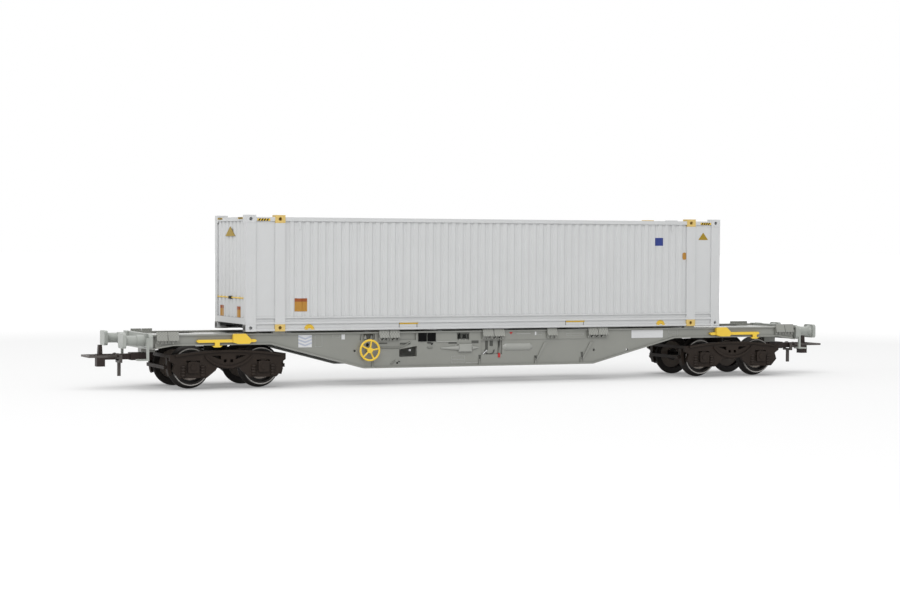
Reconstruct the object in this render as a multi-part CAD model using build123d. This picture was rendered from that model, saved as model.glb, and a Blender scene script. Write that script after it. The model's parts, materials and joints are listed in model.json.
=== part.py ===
from build123d import *
import math
import os

# Scale model (1:87) of a four-axle, 60-foot container flatcar that carries one 45-foot high container.
# Millimetres. +X runs along the car towards end b, -Y is the near side, +Z is up.
# Z = 0 is the bottom of the wheel flanges, X = 0 lies midway between the buffer faces.

# Whole car
buffer_face_x = 113.45
deck_z = 15.6
sill_bottom_z = 12.4
sill_outer_y = 13.5
headstock_face_x = 106.3
headstock_depth = 1.05

# Side sills: fish-belly web with a flange all round its outline, deeper again at the headstocks
sill_web = 0.9
sill_web_inset = 0.4
sill_end_z = 11.4
sill_end_run = 5.95
flange_width = 1.9
flange_thickness = 0.45
belly_z = 5.0
belly_inset_a = 23.7
belly_inset_b = 33.0
belly_rise_run = 28.5

# Relief of the sill webs, in shares of the headstock place and of the web height
web_step_shares = (0.023, 0.284, 0.725)
web_step_proud = 0.15
web_recess_depth = 0.45
gusset_top_width = 1.1
gusset_foot_width = 0.4
gusset_proud = 0.3
foot_rib_width = 0.3
foot_rib_share = 0.2
web_hole_r = 0.38
recess_post_r = 0.42
recess_post_tip_r = 0.12

# Underframe members between the sills
member_bottom_z = 13.1
bolster_length = 9.0
draft_sill_inboard = 9.0
draft_sill_width = 6.4
brace_width = 2.4
brace_spread_share = 0.66
platform_thickness = 0.6
platform_length = 6.5
bearer_count = 6
bearer_gap = 8.65
bearer_flange = 2.6
bearer_web = 0.8
bearer_bottom_z = 8.6

# Headstock
headstock_width = 28.0
headstock_bottom_z = 11.5
headstock_top_z = 15.8
headstock_corner_r = 1.1

# Buffers
buffer_y = 10.06
buffer_z = 13.9
buffer_head_width = 5.2
buffer_head_height = 4.2
buffer_head_thickness = 1.0
buffer_head_corner = 0.8
buffer_flare_r = 1.95
buffer_flare_length = 0.7
buffer_ram_r = 1.42
buffer_ram_length = 2.7
buffer_case_r = 1.58
buffer_flange_size = 4.0
buffer_flange_thickness = 0.4

# Corner steps
step_strip_width = 0.7
step_strip_thickness = 0.6
step_bottom_z = 8.4
step_tread_length = 3.1
step_tread_width = 2.9
step_tread_thickness = 0.4

# Container seats on the sill tops, with the locking pins that enter the lower castings
seat_thickness = 0.55
seat_width = 1.9
seat_length = 3.4
lock_pin_r = 0.45
lock_pin_height = 1.2
lock_pin_inset = 0.85
running_gap = 0.06

# Folding seats: wedges that stand out at the foot, on a thin backing plate with two hinge slots
flap_depth = 0.2
flap_foot_depth = 1.0
flap_rise = 0.45
flap_end_rise = 0.7
flap_foot_z = 13.85
flap_bottom_z = 13.0
flap_gap = 0.15
flap_slot_width = 0.55
flap_slot_shares = (0.3, 0.7)

# Yellow change-over levers on both sides at each bogie
lever_z = 13.6
lever_bar_height = 0.85
lever_bar_depth = 0.6
lever_tip = 0.5
lever_pad_length = 5.2
lever_pad_height = 2.4
lever_pad_depth = 0.95
lever_pad_slope = 1.5
lever_pad_drop = 0.45
lever_pad_corner_r = 0.4
lever_bracket_width = 1.4
lever_bracket_drop = 1.75
lever_foot_width = 3.2
lever_foot_height = 0.45

# Handwheel of the parking brake
handwheel_x = -40.67
handwheel_z = 10.3
handwheel_r = 3.2
handwheel_rim_r = 0.3
handwheel_hub_r = 0.85
handwheel_spokes = 5
handwheel_turn = 10.0
handwheel_spoke_r = 0.24
handwheel_gap = 0.8
handwheel_shaft_r = 0.4

# Brake gear on the sill web
valve_x = -10.0
valve_z = 10.5
valve_length = 4.4
valve_height = 2.4
valve_depth = 0.75
valve_chamfer = 0.25
cone_r = 0.75
cone_tip_r = 0.2
outer_cone_length = 5.6
inner_cone_length = 2.2
pipe_r = 0.22
pipe_z = 12.4
pipe_start_x = -19.2
pipe_end_x = -12.7
tank_x = 7.4
tank_z = 10.55
tank_r = 1.5
tank_length = 8.1
tank_sunk = 1.0
tank_end_length = 1.0

# Plates
plate_width = 2.6
plate_height = 2.55
plate_thickness = 0.25
plate_gap = 0.3
plate_x = -22.2
plate_z = 13.85

# Bogies
wheelbase = 20.7
axle_z = 6.2
tread_r = 5.3
flange_r = 6.2
wheel_back_y = 7.2
wheel_front_y = 10.0
wheel_flange = 0.75
wheel_rim = 0.9
wheel_web = 0.9
hub_r = 1.8
hub_proud = 0.2
axle_r = 0.9
axle_tip_y = 12.3
axle_cone = 1.1
axle_tip_r = 0.1
cup_gap = 0.08

frame_inner_y = 10.9
frame_plate = 1.3
frame_half_length = 17.1
frame_crown_z = 11.0
frame_end_top_z = 9.8
frame_end_bottom_z = 8.1
frame_end_land = 1.5
frame_neck_x = 15.7
frame_neck_z = 7.2
frame_bump_x = 16.3
frame_bump_z = 5.3
frame_foot_half_width = 4.0
frame_foot_z = 3.2
frame_lug_x = 3.8
frame_lug_z = 5.2
frame_belly_x = 3.3
frame_belly_z = 6.0
frame_belly_low_z = 5.6
frame_band = 0.65
frame_band_proud = 0.4
chord_half_length = 6.9
chord_end_z = 9.6
chord_low_z = 6.5
beam_hole_size = 0.85
beam_hole_x = 0.95
beam_hole_z = 7.9
corner_hole_start_x = 2.2
corner_hole_end_x = 5.2
corner_hole_low_z = 8.3
corner_hole_top_z = 9.4
guard_slot_width = 1.3
guard_slot_height = 0.45
guard_slot_spread = 1.3
guard_slot_z = 7.85
spring_spread = 2.85
spring_r = 0.95
spring_bottom_z = 3.5
spring_coil = 0.8
spring_coils = 4
spring_groove = 0.22
spring_sunk = 0.35
axlebox_size = 3.2
axlebox_proud = 0.6
axlebox_corner_r = 0.5
axlebox_cap_r = 0.9
axlebox_cap_proud = 0.15
transom_half_width = 3.5
transom_bottom_z = 7.4
transom_top_z = 12.6
transom_ledge_z = 10.4
centre_plate_r = 3.4
pivot_pin_r = 1.2
pivot_head_r = 1.9
pivot_head_thickness = 0.6
pivot_head_gap = 0.2
end_beam_depth = 0.8
end_beam_bottom_z = 8.9

# Brake shoes and beams outside the wheels
shoe_gap = 0.45
shoe_thickness = 1.0
shoe_width = 1.6
shoe_y = 9.0
shoe_half_angle = 22.0
hanger_thickness = 0.7
hanger_seat = 0.6
beam_seat = 0.3
brake_beam_height = 1.0
brake_beam_depth = 1.0

# Couplings
coupler_pivot_x = 102.9
coupler_pin_r = 0.6
coupler_top_z = 10.1
coupler_bottom_z = 8.0
pocket_end_x = 108.1
pocket_half_width = 1.9
pocket_nose_r = 1.5
socket_depth = 3.4
socket_half_width = 1.1
socket_bottom_z = 8.2
socket_top_z = 9.8
bracket_half_width = 1.7
hook_back_x = 115.5
hook_front_x = 117.8
hook_bottom_z = 6.3
hook_top_z = 9.8
hook_half_width = 1.25
horn_top_z = 12.4
horn_back_inset = 0.6
horn_front_inset = 0.5
horn_half_width = 0.8
horn_taper = 0.15
bow_pivot_x = 112.0
bow_pivot_z = 9.25
bow_pin_r = 0.35
bow_front_x = 121.0
bow_half_width = 4.4
bow_bar = 0.6
bow_thickness = 0.6
bow_ear_y = 1.5
bow_ear_thickness = 0.6
bow_ear_r = 0.8
dropper_x = 111.2
dropper_bottom_z = 3.5
dropper_width = 0.9
dropper_thickness = 0.6
dropper_yoke_z = 7.9

# Container
box_centre_x = -0.95
box_length = 155.1
box_bottom_z_level = deck_z + seat_thickness
box_top_z = 49.2
box_outer_y = 14.42
wall_inner_y = 13.4
wall_plate = 0.5
rib_pitch = 2.4
rib_depth = 0.3
rib_crest_share = 0.42
rib_slope_share = 0.14
end_rib_pitch = 3.4
roof_rib_pitch = 3.0
roof_rib_depth = 0.25
bay_panel_y = 14.1
bottom_rail_height = 4.1
top_rail_drop = 0.6
top_rail_height = 1.1
rail_rise = 0.15
rail_groove_depth = 0.38
rail_groove_shares = ((0.17, 0.5), (0.65, 0.9))
corner_post_width = 3.1
corner_post_depth = 1.9
frame_post_width = 3.06
frame_post_inset = 10.3
frame_post_proud = 0.03
casting_height_bottom = 2.0
casting_height_top = 2.25
casting_depth = 2.6
casting_proud = 0.06
casting_hole_r = 0.5
end_wall_thickness = 0.6
end_wall_inset = 0.45
end_sill_height = 1.75
end_floor_inset = 0.8
roof_thickness = 0.5
roof_drop = 0.15
floor_thickness = 1.15
tunnel_half_width = 5.9
tunnel_length = 38.0
tunnel_depth = 0.5
door_bar_r = 0.28
door_bar_cam_width = 0.9
door_bar_cam_height = 0.9
door_handle_z = 26.0
door_handle_length = 2.6
door_handle_height = 0.45
door_bar_shares = (-0.72, -0.28, 0.28, 0.72)
door_gap = 0.3
door_margin = 0.9
door_panel_depth = 0.2
door_panels = 3

overrun = 1.0

# Places worked out from the sizes above: bogie pivots clear of the couplings, belly between the bogies
coupler_gap = 1.5
pivot_x = coupler_pivot_x - pocket_nose_r - coupler_gap - frame_half_length
bogie_inner_x = pivot_x - frame_half_length
belly_start_x = -bogie_inner_x + belly_inset_a
belly_end_x = bogie_inner_x - belly_inset_b
draft_end_x = pivot_x - bolster_length / 2 - draft_sill_inboard
bearer_reach = draft_end_x - bearer_gap

sides = (("near", -1), ("far", 1))
ends = (("a", -1), ("b", 1))
slots = (("outer", 1), ("inner", -1))


def block(x0, x1, y0, y1, z0, z1):
    """Rectangular block between two corners, given in any order."""
    low = (min(x0, x1), min(y0, y1), min(z0, z1))
    high = (max(x0, x1), max(y0, y1), max(z0, z1))
    size = [high[i] - low[i] for i in range(3)]
    return Pos(*low) * Box(*size, align=(Align.MIN, Align.MIN, Align.MIN))


def area(points):
    """Flat outline, drawn in X and Z for slabs."""
    return make_face(Polyline(points, close=True))


def area_in(plane, points):
    """Flat outline placed in a plane, for turned shapes."""
    return plane * area(points)


def slab(face, y0, y1):
    """Face drawn in X and Z, given thickness between two y levels."""
    return extrude(Plane.XZ.offset(-min(y0, y1)) * face, amount=abs(y1 - y0), dir=(0, 1, 0))


def plan(points, z0, z1):
    """Outline in X and Y, given height between two z levels."""
    face = make_face(Polyline([(x, y, z0) for x, y in points], close=True))
    return extrude(face, amount=z1 - z0, dir=(0, 0, 1))


def rod_x(x0, x1, y, z, radius):
    """Round bar along X."""
    middle = Pos((x0 + x1) / 2, y, z)
    return middle * Rot(0, 90, 0) * Cylinder(radius, abs(x1 - x0))


def rod_y(x, y0, y1, z, radius):
    """Round bar along Y."""
    middle = Pos(x, (y0 + y1) / 2, z)
    return middle * Rot(90, 0, 0) * Cylinder(radius, abs(y1 - y0))


def rod_z(x, y, z0, z1, radius):
    """Round bar along Z."""
    return Pos(x, y, (z0 + z1) / 2) * Cylinder(radius, abs(z1 - z0))


def cone_x(x0, x1, y, z, r0, r1):
    """Round taper along X, with its radius at each end."""
    return Pos((x0 + x1) / 2, y, z) * Rot(0, 90, 0) * Cone(r0, r1, x1 - x0)


def rib_line(start, end, pitch, base, crest):
    """Line of trapezoid ribs between two places, as pairs of place and level."""
    count = int((end - start) / pitch)
    margin = (end - start - count * pitch) / 2
    slope, top = pitch * rib_slope_share, pitch * rib_crest_share
    line = [(start, base)]
    for i in range(count):
        at = start + margin + i * pitch
        line += [(at + slope, base), (at + 2 * slope, crest)]
        line += [(at + 2 * slope + top, crest), (at + 3 * slope + top, base)]
    return line + [(end, base)]


def write(name, shape):
    export_step(shape, f"parts/{name}.step")


def far_side(shape):
    """The same piece on the far side of the car."""
    return mirror(shape, about=Plane.XZ)


def other_end(shape):
    """The same piece at end b, from the one at end a."""
    return mirror(shape, about=Plane.YZ)


# Wagon frame
def sill_outline(inset):
    """Outline of a side sill in X and Z, where the inset inner one runs past the ends."""
    end_x = headstock_face_x - headstock_depth + (overrun if inset else 0)
    haunch_x = headstock_face_x - headstock_depth - sill_end_run
    end_slope = (sill_bottom_z - sill_end_z) / sill_end_run
    end_z = sill_bottom_z - end_slope * (end_x - haunch_x)
    slope = math.atan2(sill_bottom_z - belly_z, belly_rise_run)
    bend = inset * math.tan(slope / 2)
    low, belly = sill_bottom_z + inset, belly_z + inset
    return area([
        (-end_x, deck_z - inset),
        (-end_x, end_z + inset),
        (-haunch_x, low),
        (belly_start_x - belly_rise_run + bend, low),
        (belly_start_x + bend, belly),
        (belly_end_x - bend, belly),
        (belly_end_x + belly_rise_run - bend, low),
        (haunch_x, low),
        (end_x, end_z + inset),
        (end_x, deck_z - inset),
    ])


def web_place(x_share, z_share):
    """Place on the web from its shares of the headstock place and of the web height."""
    return x_share * headstock_face_x, belly_z + z_share * (deck_z - belly_z)


# Groups of folding seats: start and end as shares of the headstock place, and plates in the group
flap_groups_shares = (
    (-0.980, -0.920, 2),
    (-0.354, -0.294, 2),
    (-0.042, 0.025, 2),
    (0.159, 0.190, 1),
    (0.290, 0.353, 2),
    (0.920, 0.980, 2),
)
# Recesses, as low and high x share, low and high z share
web_recess_shares = (
    (-0.999, -0.982, 0.640, 0.945),
    (0.982, 0.999, 0.640, 0.945),
    (-0.408, -0.368, 0.771, 0.945),
    (-0.294, -0.242, 0.761, 0.945),
    (-0.117, -0.081, 0.743, 0.908),
    (-0.045, 0.021, 0.321, 0.711),
)
# Posts in the recesses, as x share, low and high z share
recess_post_shares = (
    (-0.401, 0.771, 0.93),
    (-0.375, 0.771, 0.93),
    (-0.108, 0.743, 0.89),
    (-0.090, 0.743, 0.89),
)
# Corners of the access hole, as x and z shares
access_hole_shares = ((-0.2916, 0.505), (-0.2389, 0.592), (-0.2389, 0.307), (-0.2916, 0.298))
# Round holes, as x and z shares
web_hole_shares = ((-0.423, 0.489), (0.312, 0.399), (0.420, 0.390))
# Sloping gussets, as x and z shares of the top and of the foot
gusset_shares = ((0.157, 0.642, 0.126, 0.101), (0.304, 0.633, 0.271, 0.083))
# Upright ribs on the lower flange, as x shares
foot_rib_shares = (-0.371, -0.050, 0.124, 0.269)


def side_sill():
    """Near sill: flange ring, web with its step, gussets, recesses and holes."""
    inner_y = sill_outer_y - flange_width
    web_y = sill_outer_y - sill_web_inset
    ring = slab(sill_outline(0), -sill_outer_y, -inner_y)
    ring -= slab(sill_outline(flange_thickness), -sill_outer_y - overrun, -inner_y + overrun)
    relief = web_relief(-web_y)
    for start_share, end_share, _ in flap_groups_shares:
        start, end = start_share * headstock_face_x, end_share * headstock_face_x
        relief -= block(start, end, -sill_outer_y, -web_y, flap_bottom_z, deck_z)
    sill = ring + slab(sill_outline(0), -web_y, -web_y + sill_web) + relief
    return sill - web_cuts(-web_y)


def web_relief(web_y):
    """Step, gussets and foot ribs that stand proud of the near web."""
    start_share, end_share, level_share = web_step_shares
    x0, z0 = web_place(start_share, level_share)
    x1, _ = web_place(end_share, level_share)
    relief = block(x0, x1, web_y - web_step_proud, web_y, z0, deck_z - flange_thickness)
    for top_x_share, top_z_share, foot_x_share, foot_z_share in gusset_shares:
        top_x, top_z = web_place(top_x_share, top_z_share)
        foot_x, foot_z = web_place(foot_x_share, foot_z_share)
        outline = area([
            (top_x - gusset_top_width / 2, top_z),
            (top_x + gusset_top_width / 2, top_z),
            (foot_x + gusset_foot_width / 2, foot_z),
            (foot_x - gusset_foot_width / 2, foot_z),
        ])
        relief += slab(outline, web_y - gusset_proud, web_y)
    for x_share in foot_rib_shares:
        x, top_z = web_place(x_share, foot_rib_share)
        half = foot_rib_width / 2
        relief += block(x - half, x + half, web_y - sill_web_inset, web_y, belly_z, top_z)
    return relief


def web_cuts(web_y):
    """Recesses, access hole and round holes of the near web, with the posts left standing."""
    back_y = web_y + web_recess_depth
    cuts = slab(area([web_place(x, z) for x, z in access_hole_shares]), web_y - overrun, web_y + overrun)
    for x0_share, x1_share, z0_share, z1_share in web_recess_shares:
        x0, z0 = web_place(x0_share, z0_share)
        x1, z1 = web_place(x1_share, z1_share)
        cuts += block(x0, x1, web_y - overrun, back_y, z0, z1)
    for x_share, z0_share, z1_share in recess_post_shares:
        x, z0 = web_place(x_share, z0_share)
        _, z1 = web_place(x_share, z1_share)
        post = Pos(x, back_y, (z0 + z1) / 2) * Cone(recess_post_r, recess_post_tip_r, z1 - z0)
        cuts -= post
    for x_share, z_share in web_hole_shares:
        x, z = web_place(x_share, z_share)
        cuts += rod_y(x, web_y - overrun, web_y + overrun, z, web_hole_r)
    return cuts


def sill_bottom(x):
    """Height of the near sill's lower edge at one x."""
    rise = sill_bottom_z - belly_z
    outside = max(belly_start_x - x, x - belly_end_x, 0)
    return belly_z + rise * min(outside / belly_rise_run, 1)


def cross_bearers():
    """Cross members of I section between the sill webs."""
    inner_y = sill_outer_y - sill_web_inset - sill_web
    top_z = deck_z - flange_thickness
    out = []
    for i in range(bearer_count):
        x = bearer_reach * (2 * i / (bearer_count - 1) - 1)
        half = bearer_flange / 2
        edge_z = max(sill_bottom(x - half), sill_bottom(x + half)) + 2 * flange_thickness
        bottom_z = max(bearer_bottom_z, edge_z)
        web = block(x - bearer_web / 2, x + bearer_web / 2, -inner_y, inner_y, bottom_z, top_z)
        for z in (bottom_z, top_z - bearer_web):
            web += block(x - half, x + half, -inner_y, inner_y, z, z + bearer_web)
        out.append(web)
    return out


def end_frame():
    """Bolster, draft sill and braces at end a, with the pocket that carries the coupling."""
    inner_y = sill_outer_y - sill_web_inset - sill_web
    head_x = -headstock_face_x + headstock_depth
    top_z = deck_z - flange_thickness
    bolster_x = -pivot_x - bolster_length / 2
    frame = block(bolster_x, bolster_x + bolster_length, -inner_y, inner_y, member_bottom_z, top_z)
    half = draft_sill_width / 2
    frame += block(head_x, -draft_end_x, -half, half, member_bottom_z, top_z)
    frame += block(head_x, head_x + platform_length, -inner_y, inner_y, top_z - platform_thickness, top_z)
    far_y = inner_y * brace_spread_share
    for side in (-1, 1):
        outline = [
            (head_x, side * far_y - brace_width / 2),
            (head_x, side * far_y + brace_width / 2),
            (-pivot_x, side * half + brace_width / 2),
            (-pivot_x, side * half - brace_width / 2),
        ]
        frame += plan(outline, member_bottom_z, top_z)
    frame += rod_z(-pivot_x, 0, transom_top_z, member_bottom_z, centre_plate_r)
    half = bracket_half_width
    bracket_z = coupler_top_z + running_gap
    frame += block(head_x, -coupler_pivot_x + half, -half, half, bracket_z, member_bottom_z)
    frame += rod_z(-coupler_pivot_x, 0, coupler_bottom_z, member_bottom_z, coupler_pin_r)
    return frame


def headstock():
    outline = RectangleRounded(headstock_width, headstock_top_z - headstock_bottom_z, headstock_corner_r)
    plate = extrude(Plane.YZ * outline, amount=headstock_depth)
    return Pos(-headstock_face_x, 0, (headstock_top_z + headstock_bottom_z) / 2) * plate


def buffer(y):
    """Rectangular head with a flared neck, ram and case, from the face at end a back to the headstock."""
    outline = RectangleRounded(buffer_head_width, buffer_head_height, buffer_head_corner)
    head = extrude(Plane.YZ * outline, amount=buffer_head_thickness)
    piece = Pos(-buffer_face_x, y, buffer_z) * head
    neck_x = -buffer_face_x + buffer_head_thickness
    ram_x = neck_x + buffer_flare_length
    case_x = ram_x + buffer_ram_length
    piece += cone_x(neck_x, ram_x, y, buffer_z, buffer_flare_r, buffer_ram_r)
    piece += rod_x(ram_x, case_x, y, buffer_z, buffer_ram_r)
    piece += rod_x(case_x, -headstock_face_x, y, buffer_z, buffer_case_r)
    half = buffer_flange_size / 2
    flange_x = -headstock_face_x - buffer_flange_thickness
    base_z = max(buffer_z - half, headstock_bottom_z + headstock_corner_r / 2)
    return piece + block(flange_x, -headstock_face_x, y - half, y + half, base_z, buffer_z + half)


def corner_step():
    """Strip and tread on the face of the headstock at the near corner of end a."""
    edge_y = -headstock_width / 2
    face_x = -headstock_face_x
    top_z = headstock_top_z - headstock_corner_r
    strip_y = edge_y + step_strip_thickness
    strip = block(face_x - step_strip_width, face_x, edge_y, strip_y, step_bottom_z, top_z)
    tread_x, tread_y = face_x - step_tread_length, edge_y + step_tread_width
    tread_top_z = step_bottom_z + step_tread_thickness
    return strip + block(tread_x, face_x, edge_y, tread_y, step_bottom_z, tread_top_z)


frame_post_x = box_length / 2 - frame_post_inset
seat_places = (box_centre_x - frame_post_x, box_centre_x + frame_post_x)


def container_seats():
    """Seats on the near sill with the pins that hold the container."""
    out = []
    y0 = -sill_outer_y
    half = seat_length / 2
    top_z = deck_z + seat_thickness
    for x in seat_places:
        seat = block(x - half, x + half, y0, y0 + seat_width, deck_z, top_z)
        out.append(seat + rod_z(x, y0 + lock_pin_inset, deck_z, top_z + lock_pin_height, lock_pin_r))
    return out


def folding_seats():
    """Folded seats against the near sill."""
    out = []
    for start_share, end_share, count in flap_groups_shares:
        start, end = start_share * headstock_face_x, end_share * headstock_face_x
        width = (end - start - (count - 1) * flap_gap) / count
        rise = flap_end_rise if abs(start + end) / 2 > pivot_x else flap_rise
        for i in range(count):
            x0 = start + i * (width + flap_gap)
            out.append(folding_seat(x0, x0 + width, deck_z + rise))
    return out


def folding_seat(x0, x1, top_z):
    """One wedge on its slotted backing plate, filled back to the web below the top flange."""
    back_y = -sill_outer_y + sill_web_inset
    face_y = -sill_outer_y - flap_depth
    foot_y = -sill_outer_y - flap_foot_depth
    over_z = deck_z - flange_thickness
    outline = [
        (back_y, flap_bottom_z),
        (face_y, flap_bottom_z),
        (face_y, flap_foot_z),
        (foot_y, flap_foot_z),
        (face_y, top_z),
        (-sill_outer_y, top_z),
        (-sill_outer_y, over_z),
        (back_y, over_z),
    ]
    section = make_face(Polyline([(x0, y, z) for y, z in outline], close=True))
    seat = extrude(section, amount=x1 - x0, dir=(1, 0, 0))
    half = flap_slot_width / 2
    low_z = flap_bottom_z - overrun
    for share in flap_slot_shares:
        x = x0 + share * (x1 - x0)
        seat -= block(x - half, x + half, face_y - overrun, -sill_outer_y, low_z, flap_foot_z)
    return seat


# Change-over levers: end, then |x| of bar tip, bar heel, pad and bracket as shares of the headstock place
lever_shares = (
    (-1, 0.872, 0.7055, 0.7474, 0.8151),
    (1, 0.8617, 0.6914, 0.7366, 0.8457),
)


def side_lever(sign, tip_share, heel_share, pad_share, bracket_share):
    """Tapered bar, sloped pad and footed bracket on the near sill at one end."""
    tip_x, heel_x = sign * tip_share * headstock_face_x, sign * heel_share * headstock_face_x
    pad_x, bracket_x = sign * pad_share * headstock_face_x, sign * bracket_share * headstock_face_x
    back_y = -sill_outer_y + sill_web_inset
    bar_y = -sill_outer_y - lever_bar_depth
    half = lever_bar_height / 2
    low_x, high_x = min(tip_x, heel_x), max(tip_x, heel_x)
    bar = area([
        (low_x, lever_z),
        (low_x + lever_tip, lever_z - half),
        (high_x - lever_tip, lever_z - half),
        (high_x, lever_z),
        (high_x - lever_tip, lever_z + half),
        (low_x + lever_tip, lever_z + half),
    ])
    lever = slab(bar, bar_y, back_y)
    start_x, end_x = pad_x - lever_pad_length / 2, pad_x + lever_pad_length / 2
    top_z = lever_z - half + lever_pad_height
    pad = area([
        (start_x, lever_z - half),
        (start_x, top_z),
        (end_x - lever_pad_slope, top_z),
        (end_x, top_z - lever_pad_slope),
        (end_x, lever_z - half),
        (end_x - lever_pad_drop, lever_z - half - lever_pad_drop),
        (start_x + lever_pad_slope, lever_z - half - lever_pad_drop),
    ])
    pad = fillet(pad.vertices().sort_by(Axis.Y)[-3:], lever_pad_corner_r)
    lever += slab(pad, -sill_outer_y - lever_pad_depth, back_y)
    wide, foot = lever_bracket_width / 2, lever_foot_width / 2
    foot_z = lever_z - lever_bracket_drop
    bracket = area([
        (bracket_x - wide, lever_z),
        (bracket_x + wide, lever_z),
        (bracket_x + wide, foot_z + lever_foot_height),
        (bracket_x + foot, foot_z + lever_foot_height),
        (bracket_x + foot / 2, foot_z),
        (bracket_x - foot / 2, foot_z),
        (bracket_x - foot, foot_z + lever_foot_height),
        (bracket_x - wide, foot_z + lever_foot_height),
    ])
    lever += slab(bracket, bar_y, back_y)
    lower_flange = block(low_x, high_x, -sill_outer_y, back_y, foot_z, sill_bottom_z + flange_thickness)
    upper_flange = block(low_x, high_x, -sill_outer_y, back_y, deck_z - flange_thickness, top_z + overrun)
    return lever - lower_flange - upper_flange


def handwheel():
    """Five-spoked wheel on a short shaft from the near web."""
    web_y = -sill_outer_y + sill_web_inset
    wheel_y = -sill_outer_y - handwheel_gap
    centre = Pos(handwheel_x, wheel_y, handwheel_z)
    front_y = wheel_y - handwheel_rim_r
    reach = handwheel_r - handwheel_rim_r
    wheel = centre * Rot(90, 0, 0) * Torus(reach, handwheel_rim_r)
    wheel += rod_y(handwheel_x, front_y, web_y, handwheel_z, handwheel_shaft_r)
    wheel += rod_y(handwheel_x, front_y, wheel_y + handwheel_rim_r, handwheel_z, handwheel_hub_r)
    spoke = Pos(reach / 2, 0, 0) * Rot(0, 90, 0) * Cylinder(handwheel_spoke_r, reach)
    for i in range(handwheel_spokes):
        wheel += centre * Rot(0, handwheel_turn - 90 - 360 * i / handwheel_spokes, 0) * spoke
    return wheel


def brake_gear():
    """Valve with its tapered spindle and pipe, and the air tank with tapered ends, on the near web."""
    web_y = -sill_outer_y + sill_web_inset
    x0, x1 = valve_x - valve_length / 2, valve_x + valve_length / 2
    half = valve_height / 2
    valve = block(x0, x1, web_y - valve_depth, web_y, valve_z - half, valve_z + half)
    valve = chamfer(valve.faces().sort_by(Axis.Y)[0].edges(), valve_chamfer)
    valve += cone_x(x0 - outer_cone_length, x0, web_y, valve_z, cone_tip_r, cone_r)
    valve += cone_x(x1, x1 + inner_cone_length, web_y, valve_z, cone_r, cone_tip_r)
    valve += rod_x(pipe_start_x, pipe_end_x, web_y, pipe_z, pipe_r)
    valve += rod_z(pipe_end_x - pipe_r, web_y, valve_z, pipe_z + pipe_r, pipe_r)
    tank_y = web_y + tank_sunk
    low_x, high_x = tank_x - tank_length / 2, tank_x + tank_length / 2
    tip_r = tank_r - tank_end_length / 2
    tank = rod_x(low_x, high_x, tank_y, tank_z, tank_r)
    tank += cone_x(low_x - tank_end_length, low_x, tank_y, tank_z, tip_r, tank_r)
    tank += cone_x(high_x, high_x + tank_end_length, tank_y, tank_z, tank_r, tip_r)
    reach = web_y + tank_sunk + tank_r + overrun
    behind = block(-headstock_face_x, headstock_face_x, web_y, reach, belly_z, deck_z)
    return [valve - behind, tank - behind]


def black_plates():
    """Pair of square plates on the near web."""
    web_y = -sill_outer_y + sill_web_inset
    half = plate_height / 2
    out = []
    for x0 in (plate_x - plate_gap / 2 - plate_width, plate_x + plate_gap / 2):
        x1 = x0 + plate_width
        out.append(block(x0, x1, web_y - plate_thickness, web_y, plate_z - half, plate_z + half))
    return out


def pivot_pin():
    head_top_z = transom_bottom_z - pivot_head_gap
    pin = rod_z(-pivot_x, 0, head_top_z, transom_top_z, pivot_pin_r)
    return pin + rod_z(-pivot_x, 0, head_top_z - pivot_head_thickness, head_top_z, pivot_head_r)


# Bogies, made round their pivot at x = 0
def arc_band(half, end_z, mid_z, depth):
    """Curved band in X and Z, as deep all along, symmetric about the pivot."""
    upper = ThreePointArc((-half, end_z), (0, mid_z), (half, end_z))
    lower = ThreePointArc((-half, end_z - depth), (0, mid_z - depth), (half, end_z - depth))
    return make_face([upper, lower, Line(upper @ 0, lower @ 0), Line(upper @ 1, lower @ 1)])


def frame_outline():
    """Outline of a side frame in X and Z: arched top, end lands, axle guards and low middle."""
    axle_x = wheelbase / 2
    arch_x = frame_half_length - frame_end_land
    right = [
        (arch_x, frame_end_top_z),
        (frame_half_length, frame_end_top_z),
        (frame_half_length, frame_end_bottom_z),
        (frame_neck_x, frame_neck_z),
        (frame_bump_x, frame_bump_z),
        (axle_x + frame_foot_half_width, frame_foot_z),
        (axle_x - frame_foot_half_width, frame_foot_z),
        (frame_lug_x, frame_lug_z),
        (frame_belly_x, frame_belly_z),
    ]
    left = [(-x, z) for x, z in right]
    top = ThreePointArc(left[0], (0, frame_crown_z), right[0])
    belly = ThreePointArc(left[-1], (0, frame_belly_low_z), right[-1])
    return make_face([top, Polyline(right), belly, Polyline(left)])


def spring(x, y):
    """Coil spring as a ringed pillar that stands half in the side frame."""
    coil = spring_coil / 2
    line = [(0, spring_bottom_z)]
    for i in range(spring_coils):
        z = spring_bottom_z + i * spring_coil
        line += [(spring_r - spring_groove, z), (spring_r, z + coil)]
    top_z = spring_bottom_z + spring_coils * spring_coil
    line += [(spring_r - spring_groove, top_z), (0, top_z)]
    return Pos(x, y, 0) * revolve(area_in(Plane.XZ, line), axis=Axis.Z)


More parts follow.
